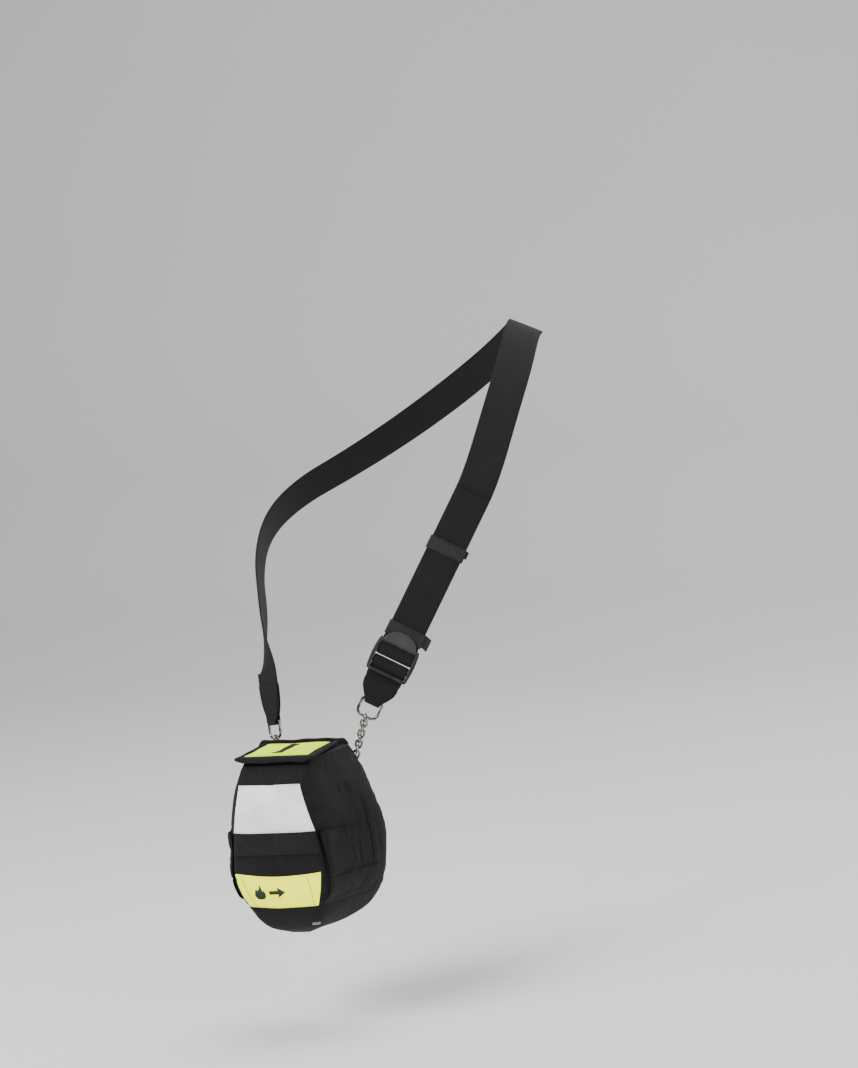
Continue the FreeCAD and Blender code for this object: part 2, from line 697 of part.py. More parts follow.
# ---------------------------------------------------------------- back of the pouch
def build_belt_loop():
    """Wide webbing loop for a waist belt, open to both sides."""
    half = BELT_LOOP_HALF
    low, high = BELT_SLOT
    near = BELT_GAP
    far = BELT_GAP + WEB_THICK
    sewn = BELT_SEWN_THICK
    side = [
        (0, low - BELT_SEWN), (sewn, low - BELT_SEWN), (sewn, low - 6), (far, low - 2),
        (far, high + 2), (sewn, high + 6), (sewn, high + BELT_SEWN), (0, high + BELT_SEWN),
        (0, high + 5), (near, high), (near, low), (0, low - 5)]
    keep("belt_loop", in_pouch(prism([(-half, y, z) for y, z in side], (2 * half, 0, 0))))


# ---------------------------------------------------------------- packed hood
# Sealed bag, level by level: height, half width, front y, back y.
BAG = [
    (9, 22, -68, -26),
    (22, 34, -81, -12),
    (40, 42, -91, -7),
    (60, 50, -97, -7),
    (110, 48, -101, -7),
    (150, 40, -99, -7),
    (168, 34, -80, -12),
]
BAG_SKIN = 0.8
BAG_CORNER = 9.0
TEAR_STRIP = (-27, 27, -44, -41)        # low x, high x, front y, back y
TEAR_STRIP_HEIGHT = 3
FILTER_AT = (0, 74)             # x and z of the filter's axis
FILTER_R = 38
FILTER_Y = (-87, -50)           # front and back of the filter
FILTER_WALL = 1.6
FILTER_OUTLET_R = 13
FILTER_INLET_R = 11
FILTER_COVER = (1.5, 4.0)       # depths behind the filter's front: cover
PLEAT_DEPTHS = (4.6, 15.0)      # pleated paper
PLEAT_PITCH = 6.0
PLEAT_THICK = 1.0
CARBON_DEPTHS = (16.6, 25.0)    # charcoal bed
CATALYST_DEPTHS = (26.4, 31.0)  # carbon monoxide catalyst bed
SCREEN_DEPTHS = (15.5, 25.4, 31.4)
SCREEN_THICK = 0.6
HOOD_HALF = 28                  # folded cloth: half width
HOOD_BACK = (-16.8, -11.5)      # folds behind the mask, front and back
HOOD_TOP = (-48, 139, 157)      # folds above the filter: front y, low z, high z
HOOD_LOW = 40                   # the folds behind the mask start here
WINDOW = (40, -30, 139, 158)    # rolled window: radius, y of its axis, low z, high z
WINDOW_THICK = 1.0
NECK_SEAL = (24, 2.5)           # ring radius and cord radius
NECK_SEAL_AT = (0, -44, 162)
MASK_CONE = (26, 34, 30)        # radius at the filter, radius at the face, depth
MASK_WALL = 2.0
MASK_PORT_R = 4.6               # port above the filter's outlet
MASK_PORT_RISE = 18.4
INHALE_SEAT = (12.6, 8.0)       # outer radius, opening radius
INHALE_DISC_R = 10.5
VALVE_GAP = 0.2                 # between a seat and its disc
VALVE_DISC_THICK = 1.0
HARNESS_RADII = (30, 22)
HARNESS_WIDTH = 5
HARNESS_THICK = 1.2
EXHALE_Y = -70
EXHALE_SEAT = (12, 7)           # outer radius, opening radius
EXHALE_DISC_R = 9.5
EXHALE_DISC_THICK = 1.2
EXHALE_COVER_DEPTH = 5.5
EXHALE_SLOT_HALF = 1.2


def bag_form(inset):
    wires = []
    for z, half, y0, y1 in BAG:
        rise = inset if z == BAG[0][0] else (-inset if z == BAG[-1][0] else 0)
        half = half - inset
        y0 = y0 + inset
        y1 = y1 - inset
        z = z + rise
        cut = BAG_CORNER
        wires.append(polygon([
            (-half + cut, y0, z), (half - cut, y0, z), (half, y0 + cut, z), (half, y1 - cut, z),
            (half - cut, y1, z), (-half + cut, y1, z), (-half, y1 - cut, z), (-half, y0 + cut, z)]))
    return loft(wires)


def build_bag():
    keep("foil_bag", in_pouch(bag_form(0).cut(bag_form(BAG_SKIN))))
    z = BAG[-1][0]
    keep("tear_strip", in_pouch(box(*TEAR_STRIP, z, z + TEAR_STRIP_HEIGHT)))


def filter_disc(radius, depths):
    """Disc on the filter's axis between two depths behind the filter's front."""
    x, z = FILTER_AT
    front = FILTER_Y[0]
    return rod_y(radius, front + depths[0], front + depths[1], x, z)


def build_filter():
    x, z = FILTER_AT
    y0, y1 = FILTER_Y
    cover_back = y0 + FILTER_COVER[1]
    hollow = rod_y(FILTER_R - FILTER_WALL, cover_back - 1, y1 - 2, x, z)
    shell = rod_y(FILTER_R, cover_back, y1, x, z).cut(hollow)
    keep("filter_housing", in_pouch(shell.cut(rod_y(FILTER_OUTLET_R, y1 - 3, y1 + 1, x, z))))
    inlet = rod_y(FILTER_INLET_R, y0, y0 + 5, x, z)
    keep("filter_cover", in_pouch(filter_disc(FILTER_R, FILTER_COVER).cut(inlet)))
    keep("filter_plug", in_pouch(filter_disc(FILTER_INLET_R - 0.2, FILTER_COVER)))
    inner = FILTER_R - FILTER_WALL - 0.4
    pleat_y = [y0 + depth for depth in PLEAT_DEPTHS]
    keep("particle_pleat", in_pouch(pleats(inner, *pleat_y, x, z)))
    keep("carbon_bed", in_pouch(filter_disc(inner, CARBON_DEPTHS)))
    keep("catalyst_bed", in_pouch(filter_disc(inner, CATALYST_DEPTHS)))
    screens = [filter_disc(inner, (depth, depth + SCREEN_THICK)) for depth in SCREEN_DEPTHS]
    keep("filter_screens", in_pouch(Part.Compound(screens)))


def pleats(radius, y0, y1, x, z):
    """Pleated filter paper, cut to a disc."""
    pitch = PLEAT_PITCH
    thick = PLEAT_THICK
    count = int(2 * radius / pitch)
    left = x - count * pitch / 2
    front = [(left + i * pitch / 2, y1 - thick if i % 2 else y0) for i in range(2 * count + 1)]
    back = [(px, py + thick) for px, py in reversed(front)]
    sheet = prism([(px, py, z - radius) for px, py in front + back], (0, 0, 2 * radius))
    return sheet.common(rod_y(radius, y0, y1, x, z))


def build_mask():
    x, z = FILTER_AT
    y0 = FILTER_Y[1]
    seat_r, opening_r = INHALE_SEAT
    seat_top = y0 + 3.0
    keep("inhale_valve_seat", in_pouch(tube_y(seat_r, opening_r, y0 - 2.0, seat_top, x, z)))
    disc_y = seat_top + VALVE_GAP
    keep("inhale_valve_disc", in_pouch(rod_y(INHALE_DISC_R, disc_y, disc_y + VALVE_DISC_THICK, x, z)))
    small, large, depth = MASK_CONE
    rear = Vector(0, 1, 0)
    outer = Part.makeCone(small, large, depth, Vector(x, y0 + 1, z), rear)
    hollow_at = Vector(x, y0 + 1 + MASK_WALL, z)
    inner = Part.makeCone(small - MASK_WALL, large - MASK_WALL, depth - 1, hollow_at, rear)
    bore = rod_y(seat_r + 0.2, y0, y0 + 4, x, z)
    port = rod_y(MASK_PORT_R, y0 - 1, y0 + 6, x, z + MASK_PORT_RISE)
    keep("half_mask", in_pouch(outer.cut(inner).cut(bore).cut(port)))
    keep("head_harness", in_pouch(harness(x, y0 + depth + 1.4, z)))


def harness(x, y, z):
    """Two flat elastic rings folded behind the mask."""
    rings = []
    for radius in HARNESS_RADII:
        rings.append(tube_y(radius, radius - HARNESS_WIDTH, y, y + HARNESS_THICK, x, z))
    return Part.Compound(rings)


def build_exhale_valve():
    """Seat with its opening, the disc in front of it, and a vented cover over both."""
    x = FILTER_AT[0]
    z = FILTER_AT[1] + FILTER_R + 14
    y = EXHALE_Y
    seat_r, opening_r = EXHALE_SEAT
    keep("exhale_valve_seat", in_pouch(tube_y(seat_r, opening_r, y, y + 2.5, x, z)))
    disc_y = y - VALVE_GAP
    keep("exhale_valve_disc", in_pouch(rod_y(EXHALE_DISC_R, disc_y - EXHALE_DISC_THICK, disc_y, x, z)))
    front = y - EXHALE_COVER_DEPTH
    hollow = rod_y(seat_r - 1.4, front + 1.2, y + 1, x, z)
    cup = rod_y(seat_r, front, y - 0.1, x, z).cut(hollow)
    slot = EXHALE_SLOT_HALF
    upright = box(-slot, slot, front - 2.5, front + 2.5, z - opening_r, z + opening_r)
    level = box(-opening_r, opening_r, front - 2.5, front + 2.5, z - slot, z + slot)
    keep("exhale_cover", in_pouch(cup.cut(fuse([upright, level]))))


def build_hood():
    """Folded hood cloth, the window and the neck seal, as they lie in the bag."""
    front, low, high = HOOD_TOP
    behind = box(-HOOD_HALF, HOOD_HALF, *HOOD_BACK, HOOD_LOW, high)
    above = box(-HOOD_HALF, HOOD_HALF, front, HOOD_BACK[1], low, high)
    keep("folded_hood", in_pouch(fuse([behind, above])))
    radius, y, low, high = WINDOW
    sheet = Part.makeCylinder(radius, high - low, Vector(0, y, low))
    sheet = sheet.cut(Part.makeCylinder(radius - WINDOW_THICK, high, Vector(0, y, 0)))
    keep("visor", in_pouch(sheet.common(box(-HOOD_HALF, HOOD_HALF, y - 60, y - 15, low, high))))
    keep("neck_seal", in_pouch(Part.makeTorus(*NECK_SEAL, Vector(*NECK_SEAL_AT))))


# ---------------------------------------------------------------- build and write
def build():
    front_run = front_run_frame()
    left_run = left_run_frame()
    build_pouch()
    build_lid()
    build_belt_loop()
    build_connections(front_run, left_run)
    build_strap(front_run, left_run)
    build_bag()
    build_filter()
    build_mask()
    build_exhale_valve()
    build_hood()


def write():
    os.makedirs("parts", exist_ok=True)
    for name, shape in NODES.items():
        shape.exportStep("parts/" + name + ".step")
    print(len(NODES), "nodes written")


build()
write()
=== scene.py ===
import bpy
import math
import numpy as np
from mathutils import Matrix, Vector, noise


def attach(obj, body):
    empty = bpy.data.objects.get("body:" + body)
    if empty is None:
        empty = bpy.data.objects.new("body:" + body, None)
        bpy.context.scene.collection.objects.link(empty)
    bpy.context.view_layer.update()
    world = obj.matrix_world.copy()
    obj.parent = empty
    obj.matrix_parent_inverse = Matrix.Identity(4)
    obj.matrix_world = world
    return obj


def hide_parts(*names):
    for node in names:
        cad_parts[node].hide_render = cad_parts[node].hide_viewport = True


# Smoke hood in its soft belt pouch on a shoulder strap. Metres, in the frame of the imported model:
# +Z up as worn, the pouch's front faces -Y, origin where the strap lies over the shoulder.
# Names that end in _AT and the strap's route are in metres. All other sizes are in mm, in the local frame
# of the pouch or of one of the strap's straight runs.

MM = 0.001
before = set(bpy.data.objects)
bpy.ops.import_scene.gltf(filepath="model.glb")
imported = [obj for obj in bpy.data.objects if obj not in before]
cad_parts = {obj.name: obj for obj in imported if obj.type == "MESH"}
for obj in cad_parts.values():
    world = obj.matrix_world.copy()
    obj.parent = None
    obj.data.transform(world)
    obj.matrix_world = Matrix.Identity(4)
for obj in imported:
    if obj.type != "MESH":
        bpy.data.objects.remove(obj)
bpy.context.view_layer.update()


# ---------------------------------------------------------------- sizes
POUCH_AT = Vector((-0.220, -0.240, -0.612))     # middle of the pouch's width, its back face, its bottom
BACK_CORNER = 0.97              # the back is this share of the widest width
# Outline of the pouch: height, front half width, widest half width, front y, back y.
LEVELS = np.array([
    (0, 10, 16, -62, -34),
    (4, 20, 32, -73, -20),
    (10, 28, 50, -82, -10),
    (20, 35, 65, -89, -3),
    (36, 42, 77, -96, 0),
    (56, 49.5, 84.5, -102, 0),
    (76, 53.5, 88, -105, 0),
    (98, 51.5, 88.5, -106, 0),
    (120, 47, 86, -106, 0),
    (145, 42, 78.5, -105.5, 0),
    (170, 37.5, 67, -101, 0),
    (182, 38, 60, -92, 0),
    (190, 38, 56, -80, 0),
], float)
BODY_TOP = 190.0
BOWL_TOP = 36.0
POCKET_TOP = 98.0
WALL = 2.4                      # thickness of the pouch's fabric
PANEL = WALL - 0.3              # and of its drawn sheets
CELLS = (24, 32, 24, 32)        # cells of the pouch's grid along its front, right, back and left
CORNERS = np.concatenate([[0], np.cumsum(CELLS)])
ROWS = 56                       # its rows, from the bottom to the mouth
PRESSED_RING = (64.0, -51.0, 153.0)     # centre of a round part inside that shows through the right side
PRESSED_RING_RADIUS = 8.6
FRONT_CROWN = 2.0               # the filled pouch pushes its front out this far
CLOTH_CAP = 3.2                 # the filling may push the fabric this far

# Front layers: low and high z, and how far they stand out
BAND = (95, 118.5, 1.7)
LABEL = (119.5, 169.0, 0.7)
YELLOW = (38, 76, 1.1)

# Side pockets: low and high z, their reach along the side panel, and their two seams
SIDE_POCKET = (46, 118)
SIDE_POCKET_SPAN = (0.065, 0.78)
POCKET_SEAM_Z = 69
POCKET_SEAM_T = 0.67
UPRIGHT_SEAM_TOP = 140          # the upright seam runs on above the pocket to this height
POCKET_FALL = 7.0               # the pocket's top edge falls this far towards the back
POCKET_LIP = 16                 # the pocket's upper front corner gapes from this far below its top
POCKET_OUT = (1.3, 1.7, 2.0)    # how far it stands out: everywhere, more at its front edge, and at that corner
POCKET_THICK = 1.1
SEAM_DEPTH = 0.9                # upright seams draw the fabric in
SEAM_ROW = 2.2                  # rows of stitches run this far from a seam or edge

# Mouth, rim and lid
MOUTH_CENTRE = np.array((0.0, -39.0))
MOUTH_HALF = np.array((34.0, 27.0))
TAPE_X = (-28, 28)              # hook and loop tapes under the lid's front
TAPE_Y = (-76, -67)
RIM_HALF = 52
RIM_LOW = 188.5
RIM_TOP = 199
LID_HALF = 43
LID_Y = (-88, -8)
LID_Z = (193.5, 196.5)
PATCH_HALF = 36
PATCH_Y = (-81, -13)
TAB_FREE_Y = -72                # the opening tab's front end on the patch, and its sewn rear end
TAB_SEWN_Y = -26

# Strap
WEB_HALF = 20.0
WEB_THICK = 2.2
RIBBON_THICK = 2.1
STRAP_YAW = 19.9                # how the front run turns, tips back and leans over, in degrees
STRAP_PITCH = 6.2
STRAP_LEAN = 31.6
FRONT_RUN_AT = Vector((-0.1225, -0.2246, -0.3491))
WEB_LAYER_Y = 1.6               # the middles of the webbing and of the tail that lies on it
TAIL_LAYER_Y = -0.8
TAIL = (37, 216)                # low and high z
LOW_BAR_Z = 9
CROSS_BAR_Z = 25
BAR_REACH = 2.3                 # the turns of webbing are drawn out this far above and below the bars
BAR_BEND = 3.6                  # radius of a webbing's middle line round a bar of the adjuster
WRAP_BEND = 3.65
RING_BEND = 2.9                 # and round a ring's bar
END_TAB_Z = -33.0               # the right ring's bar
END_TAB_Y = 3.6
LEFT_RING_AT = Vector((-0.258, -0.226, -0.3955))
LEFT_UP = Vector((-4, 6, 42))   # which way the left end runs up, and which way its face looks
LEFT_OUT = Vector((-0.6, -0.8, 0))
LEFT_TAB = 38.0                 # its length above the ring
KEEPERS = {                     # body, z, height, length of the sewn end, its rise above the low edge
    "lower_keeper": ("keeper_low", 40, 16, 7.0, 1.6),
    "upper_keeper": ("keeper_high", 142, 15, 2.4, 6.0),
}
BELT_LOOP_HALF = 36.0
BELT_LOOP_MIDDLE = 81
POUCH_RINGS = {"right": 50, "left": -36}        # x of the rings on the pouch's back
POUCH_RING_BAR = (4.4, 158.5)   # y and z of their bars

# Route of the strap above the straight front run: points in metres, and where the webbing's face looks.
ROUTE = [
    ((0.002, -0.124, -0.084), (0.55, -0.35, 0.7)),
    ((0.009, -0.076, -0.034), (0.5, -0.1, 0.85)),
    ((0.006, -0.028, 0.000), (0.45, 0.1, 0.9)),
    ((-0.006, 0.028, 0.000), (0.4, 0.25, 0.9)),
    ((-0.030, 0.062, -0.013), (0.3, 0.45, 0.85)),
    ((-0.068, 0.082, -0.038), (0.2, 0.6, 0.75)),
    ((-0.120, 0.086, -0.072), (0.05, 0.8, 0.6)),
    ((-0.184, 0.072, -0.111), (-0.3, 0.85, 0.5)),
    ((-0.243, 0.040, -0.144), (-0.65, 0.65, 0.4)),
    ((-0.288, -0.008, -0.168), (-0.9, 0.3, 0.3)),
    ((-0.307, -0.066, -0.196), (-0.97, 0, 0.2)),
    ((-0.301, -0.120, -0.234), (-0.97, -0.02, 0.1)),
    ((-0.284, -0.160, -0.276), (-0.97, -0.03, 0.1)),
    ((-0.275, -0.188, -0.314), (-0.93, -0.33, 0.05)),
]

# Foil bag: height, half width, front y, back y
BAG = np.array([
    (9.3, 20, -66, -28),
    (22, 34, -81, -12),
    (40, 42, -91, -7),
    (60, 50, -97, -7),
    (110, 48, -101, -7),
    (150, 40, -99, -7),
    (168, 34, -80, -12),
], float)
BAG_CUT = 9.0                   # its corners are cut off this far
TEAR_STRIP_HALF = 26.5
TEAR_STRIP_Z = (168.3, 170.9)
TEAR_STRIP_Y = -42.5
HOOD_HALF = 27.5
HARNESS_Z = 74
HARNESS_Y = (-18.4, -17.6)
HARNESS_BAND = 4.6
NECK_SEAL = (24, 2.3)           # radius of the ring, and of its section
NECK_SEAL_Y = -44
NECK_SEAL_Z = 162


# ---------------------------------------------------------------- camera
CAMERA_AT = Vector((1.1177, -3.4706, 0.1745))
CAMERA_AXES = Matrix((          # its right, up and back
    (0.93919, 0.32837, -0.10047),
    (0.05845, 0.13543, 0.98906),
    (0.33839, -0.93479, 0.10800)))


def build_camera():
    data = bpy.data.cameras.new("camera")
    data.lens = 110
    data.sensor_width = 36
    data.sensor_fit = "AUTO"
    data.clip_end = 50
    camera = bpy.data.objects.new("camera", data)
    bpy.context.scene.collection.objects.link(camera)
    camera.matrix_world = Matrix.Translation(CAMERA_AT) @ CAMERA_AXES.transposed().to_4x4()
    bpy.context.scene.camera = camera


# ---------------------------------------------------------------- local frames
def frame_matrix(origin, x_axis, z_axis):
    """Frame whose local numbers are in mm."""
    z = z_axis.normalized()
    y = z.cross(x_axis).normalized()
    x = y.cross(z)
    rows = [(x[k] * MM, y[k] * MM, z[k] * MM, origin[k]) for k in range(3)]
    return Matrix((*rows, (0, 0, 0, 1)))


def front_run_matrix():
    """The straight front run: X across the webbing, -Y outward, Z up along it."""
    yaw, pitch, lean = (math.radians(a) for a in (STRAP_YAW, STRAP_PITCH, STRAP_LEAN))
    right = Vector((math.cos(yaw), math.sin(yaw), 0))
    outward = Vector((math.sin(yaw) * math.cos(pitch), -math.cos(yaw) * math.cos(pitch), math.sin(pitch)))
    up = outward.cross(right)
    x_axis = right * math.cos(lean) - up * math.sin(lean)
    z_axis = right * math.sin(lean) + up * math.cos(lean)
    return frame_matrix(FRONT_RUN_AT, x_axis, z_axis)


FRONT_RUN = front_run_matrix()
LEFT_RUN = frame_matrix(LEFT_RING_AT, LEFT_UP.cross(LEFT_OUT), LEFT_UP)
POUCH = Matrix.Translation(POUCH_AT) @ Matrix.Diagonal((MM, MM, MM, 1))


# ---------------------------------------------------------------- number helpers
def to_row(points, matrix=POUCH):
    """Local mm points, as an array ending in x, y, z, to metres in the row frame."""
    m = np.array(matrix)
    return np.asarray(points, float) @ m[:3, :3].T + m[:3, 3]


def xyz(x, y, z):
    """Points from their x, y and z; any of these may be one number for all."""
    return np.stack(np.broadcast_arrays(x, y, z), axis=-1).astype(float)


def span(low, high, step):
    return np.linspace(low, high, max(2, int(round((high - low) / step)) + 1))


def unit(vectors):
    return vectors / np.maximum(np.linalg.norm(vectors, axis=-1, keepdims=True), 1e-9)


def close(grid):
    """The grid with its first column repeated after its last one."""
    return np.concatenate([grid, grid[:, :1]], axis=1)


def travelled(line):
    """Distance along a line at each of its points."""
    return np.concatenate([[0], np.cumsum(np.linalg.norm(np.diff(line, axis=0), axis=1))])


def ease(value, start, length):
    """0 up to the start, rising to 1 over the length."""
    return np.clip((value - start) / length, 0, 1)


def near(value, low, high, soft):
    """1 between low and high, falling to 0 over soft on both sides."""
    return np.clip((value - low) / soft + 1, 0, 1) * np.clip((high - value) / soft + 1, 0, 1)


def groove(value, middle, width):
    """A smooth channel: 1 at its middle."""
    return np.exp(-((value - middle) / width) ** 2)


def arc(cy, cz, radius, start, end, steps=8):
    """Points of an arc in the (y, z) plane; angles in degrees from +y towards +z."""
    turns = np.radians(np.linspace(start, end, steps + 1))
    return [(cy + radius * math.cos(a), cz + radius * math.sin(a)) for a in turns]


def smooth_line(points, per_span=3, closed=False):
    """Catmull-Rom line through a few points; a closed one runs on to its first point."""
    points = [np.array(p, float) for p in points]
    if closed:
        points = points[-1:] + points + points[:2]
    else:
        points = [2 * points[0] - points[1]] + points + [2 * points[-1] - points[-2]]
    line = []
    for a, b, c, d in zip(points, points[1:], points[2:], points[3:]):
        for step in range(per_span):
            t = step / per_span
            line.append(0.5 * (2 * b + (c - a) * t + (2 * a - 5 * b + 4 * c - d) * t * t
                               + (3 * b - a - 3 * c + d) * t ** 3))
    if not closed:
        line.append(points[-2])
    return np.array(line)


# ---------------------------------------------------------------- mesh helpers
def mesh_object(name, points, faces, uv=None):
    mesh = bpy.data.meshes.new(name)
    mesh.from_pydata([tuple(p) for p in points], [], faces)
    if uv is not None:
        layer = mesh.uv_layers.new(name="uv")
        loops = np.empty(len(mesh.loops), int)
        mesh.loops.foreach_get("vertex_index", loops)
        layer.data.foreach_set("uv", np.asarray(uv, np.float32)[loops].ravel())
    mesh.polygons.foreach_set("use_smooth", [True] * len(mesh.polygons))
    mesh.update()
    piece = bpy.data.objects.new(name, mesh)
    bpy.context.scene.collection.objects.link(piece)
    return piece


def grid_faces(rows, cols, first=0, flip=False, closed=False, capped=False):
    """Quads of a grid; closed joins its last column to its first, and capped fills its end rows."""
    faces = []
    for r in range(rows - 1):
        low = first + r * cols
        for c in range(cols if closed else cols - 1):
            d = (c + 1) % cols
            quad = [low + c, low + d, low + cols + d, low + cols + c]
            faces.append(quad[::-1] if flip else quad)
    if capped:
        faces.append(list(range(cols))[::-1])
        faces.append([(rows - 1) * cols + c for c in range(cols)])
    return faces


def metric_uv(points):
    """Lengths along the middle row and column of a grid, so that a weave keeps its scale."""
    rows, cols = points.shape[:2]
    return np.stack(np.meshgrid(travelled(points[rows // 2]), travelled(points[:, cols // 2])), axis=-1)


def slab(name, outer, inner, matrix=POUCH):
    """Thin closed sheet between an outer and an inner grid of local points."""
    outer, inner = to_row(outer, matrix), to_row(inner, matrix)
    rows, cols = outer.shape[:2]
    count = rows * cols
    faces = grid_faces(rows, cols) + grid_faces(rows, cols, count, True)
    rim = list(range(cols))
    rim += [r * cols + cols - 1 for r in range(1, rows)]
    rim += [(rows - 1) * cols + c for c in range(cols - 2, -1, -1)]
    rim += [r * cols for r in range(rows - 2, 0, -1)]
    for a, b in zip(rim, rim[1:] + rim[:1]):
        faces.append([b, a, count + a, count + b])
    uv = metric_uv(outer).reshape(-1, 2)
    points = np.concatenate([outer.reshape(-1, 3), inner.reshape(-1, 3)])
    piece = mesh_object(name, points, faces, np.concatenate([uv, uv]))
    piece.data.set_sharp_from_angle(angle=math.radians(50))
    return piece


def ribbon(name, matrix, profile, half_at, thick=RIBBON_THICK, centre_x=0.0, closed=False, columns=17):
    """Webbing that follows a (y, z) profile in its own frame; half_at gives its half width at each z."""
    if closed:
        tangent = unit(np.roll(profile, -1, 0) - np.roll(profile, 1, 0))
    else:
        tangent = unit(np.gradient(profile, axis=0))
    normal = np.stack([-tangent[:, 1], tangent[:, 0]], axis=-1)
    t = np.linspace(-1, 1, columns)
    half = np.array([half_at(z) for z in profile[:, 1]])
    thin = 1 - 0.55 * ease(np.abs(t), 0.9, 0.1) ** 2
    grids = []
    for side in (1, -1):
        yz = profile[:, None, :] + side * thick / 2 * thin[None, :, None] * normal[:, None, :]
        x = centre_x + half[:, None] * t[None, :]
        grids.append(np.concatenate([x[..., None], yz], axis=-1))
    if closed:
        grids = [np.concatenate([g, g[:1]], axis=0) for g in grids]
    return slab(name, *grids, matrix)


def bevel(piece, width, segments=2, angle=40):
    modifier = piece.modifiers.new("bevel", "BEVEL")
    modifier.width = width * MM
    modifier.segments = segments
    modifier.limit_method = "ANGLE"
    modifier.angle_limit = math.radians(angle)
    modifier.harden_normals = True


def thicken(piece, thick):
    solid = piece.modifiers.new("solid", "SOLIDIFY")
    solid.thickness = thick * MM
    solid.offset = -1


def apply_modifiers(piece):
    depsgraph = bpy.context.evaluated_depsgraph_get()
    mesh = bpy.data.meshes.new_from_object(piece.evaluated_get(depsgraph))
    piece.modifiers.clear()
    piece.data = mesh
    return piece


def join(name, pieces):
    bpy.ops.object.select_all(action="DESELECT")
    for piece in pieces:
        piece.select_set(True)
    bpy.context.view_layer.objects.active = pieces[0]
    bpy.ops.object.join()
    pieces[0].name = name
    return pieces[0]


def settle(piece, body, look, *nodes, slot=None):
    """Every piece rides on a body, and has its material and the nodes it stands for; the slot argument is not
    used.
    """
    piece.data.materials.clear()
    piece.data.materials.append(MATERIALS[look])
    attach(piece, body)
    if nodes:
        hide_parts(*nodes)
    return piece


# ---------------------------------------------------------------- materials
class Nodes:
    """Short way to write a procedural material."""

    def __init__(self, name):
        self.material = bpy.data.materials.new(name)
        self.material.use_nodes = True
        self.tree = self.material.node_tree
        self.shader = self.tree.nodes["Principled BSDF"]

    def put(self, socket, value):
        """Gives a socket a number, a colour or another node's output."""
        if isinstance(value, (int, float)):
            socket.default_value = value
        elif isinstance(value, tuple):
            socket.default_value = (*value, 1)
        elif value is not None:
            self.tree.links.new(value, socket)

    def add(self, kind, setting=None, **inputs):
        node = self.tree.nodes.new(kind)
        for key, value in (setting or {}).items():
            setattr(node, key, value)
        for key, value in inputs.items():
            self.put(node.inputs[key], value)
        return node

    def math(self, operation, a, b=None):
        node = self.add("ShaderNodeMath", {"operation": operation})
        self.put(node.inputs[0], a)
        self.put(node.inputs[1], b)
        return node.outputs[0]

    def times(self, a, b):
        return self.math("MULTIPLY", a, b)

    def line(self, base, value, gain):
        """base + gain * value"""
        return self.math("ADD", base, self.times(value, gain))

    def object_place(self):
        return self.add("ShaderNodeTexCoord").outputs["Object"]

    def uv(self):
        return self.add("ShaderNodeUVMap", {"uv_map": "uv"}).outputs[0]

    def noise(self, scale, detail):
        place = self.object_place()
        node = self.add("ShaderNodeTexNoise", Scale=scale, Detail=detail, Roughness=0.55, Vector=place)
        return node.outputs["Fac"]

    def cells(self, scale, place, feature="F1"):
        """Distance from the middles, or from the edges, of small cells."""
        node = self.add("ShaderNodeTexVoronoi", {"feature": feature}, Scale=scale, Vector=place)
        return node.outputs["Distance"]

    def ramp(self, factor, *stops):
        node = self.add("ShaderNodeValToRGB", Fac=factor)
        for element, (place, colour) in zip(node.color_ramp.elements, stops):
            element.position = place
            element.color = (*colour, 1)
        return node.outputs[0]

    def mix(self, factor, a, b):
        node = self.add("ShaderNodeMix", {"data_type": "RGBA"})
        for index, value in ((0, factor), (6, a), (7, b)):
            self.put(node.inputs[index], value)
        return node.outputs[2]

    def bump(self, height, distance, strength, normal=None):
        node = self.add("ShaderNodeBump", Distance=distance, Strength=strength, Height=height, Normal=normal)
        return node.outputs[0]

    def weave(self, pitch_u, pitch_v):
        """Plain weave: rounded threads that pass over and under by turns."""
        split = self.add("ShaderNodeSeparateXYZ", Vector=self.uv())
        wave_u = self.math("SINE", self.times(split.outputs[0], math.pi / pitch_u))
        wave_v = self.math("SINE", self.times(split.outputs[1], math.pi / pitch_v))
        over = self.math("GREATER_THAN", self.times(wave_u, wave_v), 0)
        first = self.times(self.math("ABSOLUTE", wave_u), over)
        second = self.times(self.math("ABSOLUTE", wave_v), self.math("SUBTRACT", 1.0, over))
        return self.math("ADD", first, second)

    def set(self, **values):
        for key, value in values.items():
            self.put(self.shader.inputs[key.replace("_", " ")], value)
        return self.material


CLOTH_GLOSS = 0.18              # woven yarn mirrors far less than a smooth surface


def shade(colour, factor):
    return tuple(min(1.0, factor * c) for c in colour)


def fabric_material(name, dark, light, pitch=0.0007, sheen=0.04):
    """Woven cloth with faded patches, a painted highlight on its thread tops and a soft undulation."""
    n = Nodes(name)
    threads = n.weave(pitch, pitch)
    fade = n.noise(22, 4)
    colour = n.ramp(fade, (0.3, dark), (0.72, light))
    # painted highlight: the weave's thread tops are made lighter, as where light catches them
    colour = n.mix(n.times(threads, 0.35), colour, shade(light, 1.6))
    colour = n.mix(n.times(n.noise(900, 2), 0.25), colour, shade(dark, 0.5))
    normal = n.bump(n.noise(60, 3), 0.0012, 0.35)
    normal = n.bump(threads, 0.00016, 0.8, normal)
    n.set(Roughness=n.line(0.78, fade, 0.14), Specular_IOR_Level=CLOTH_GLOSS)
    return n.set(Base_Color=colour, Normal=normal, Sheen_Weight=sheen, Sheen_Roughness=0.5)


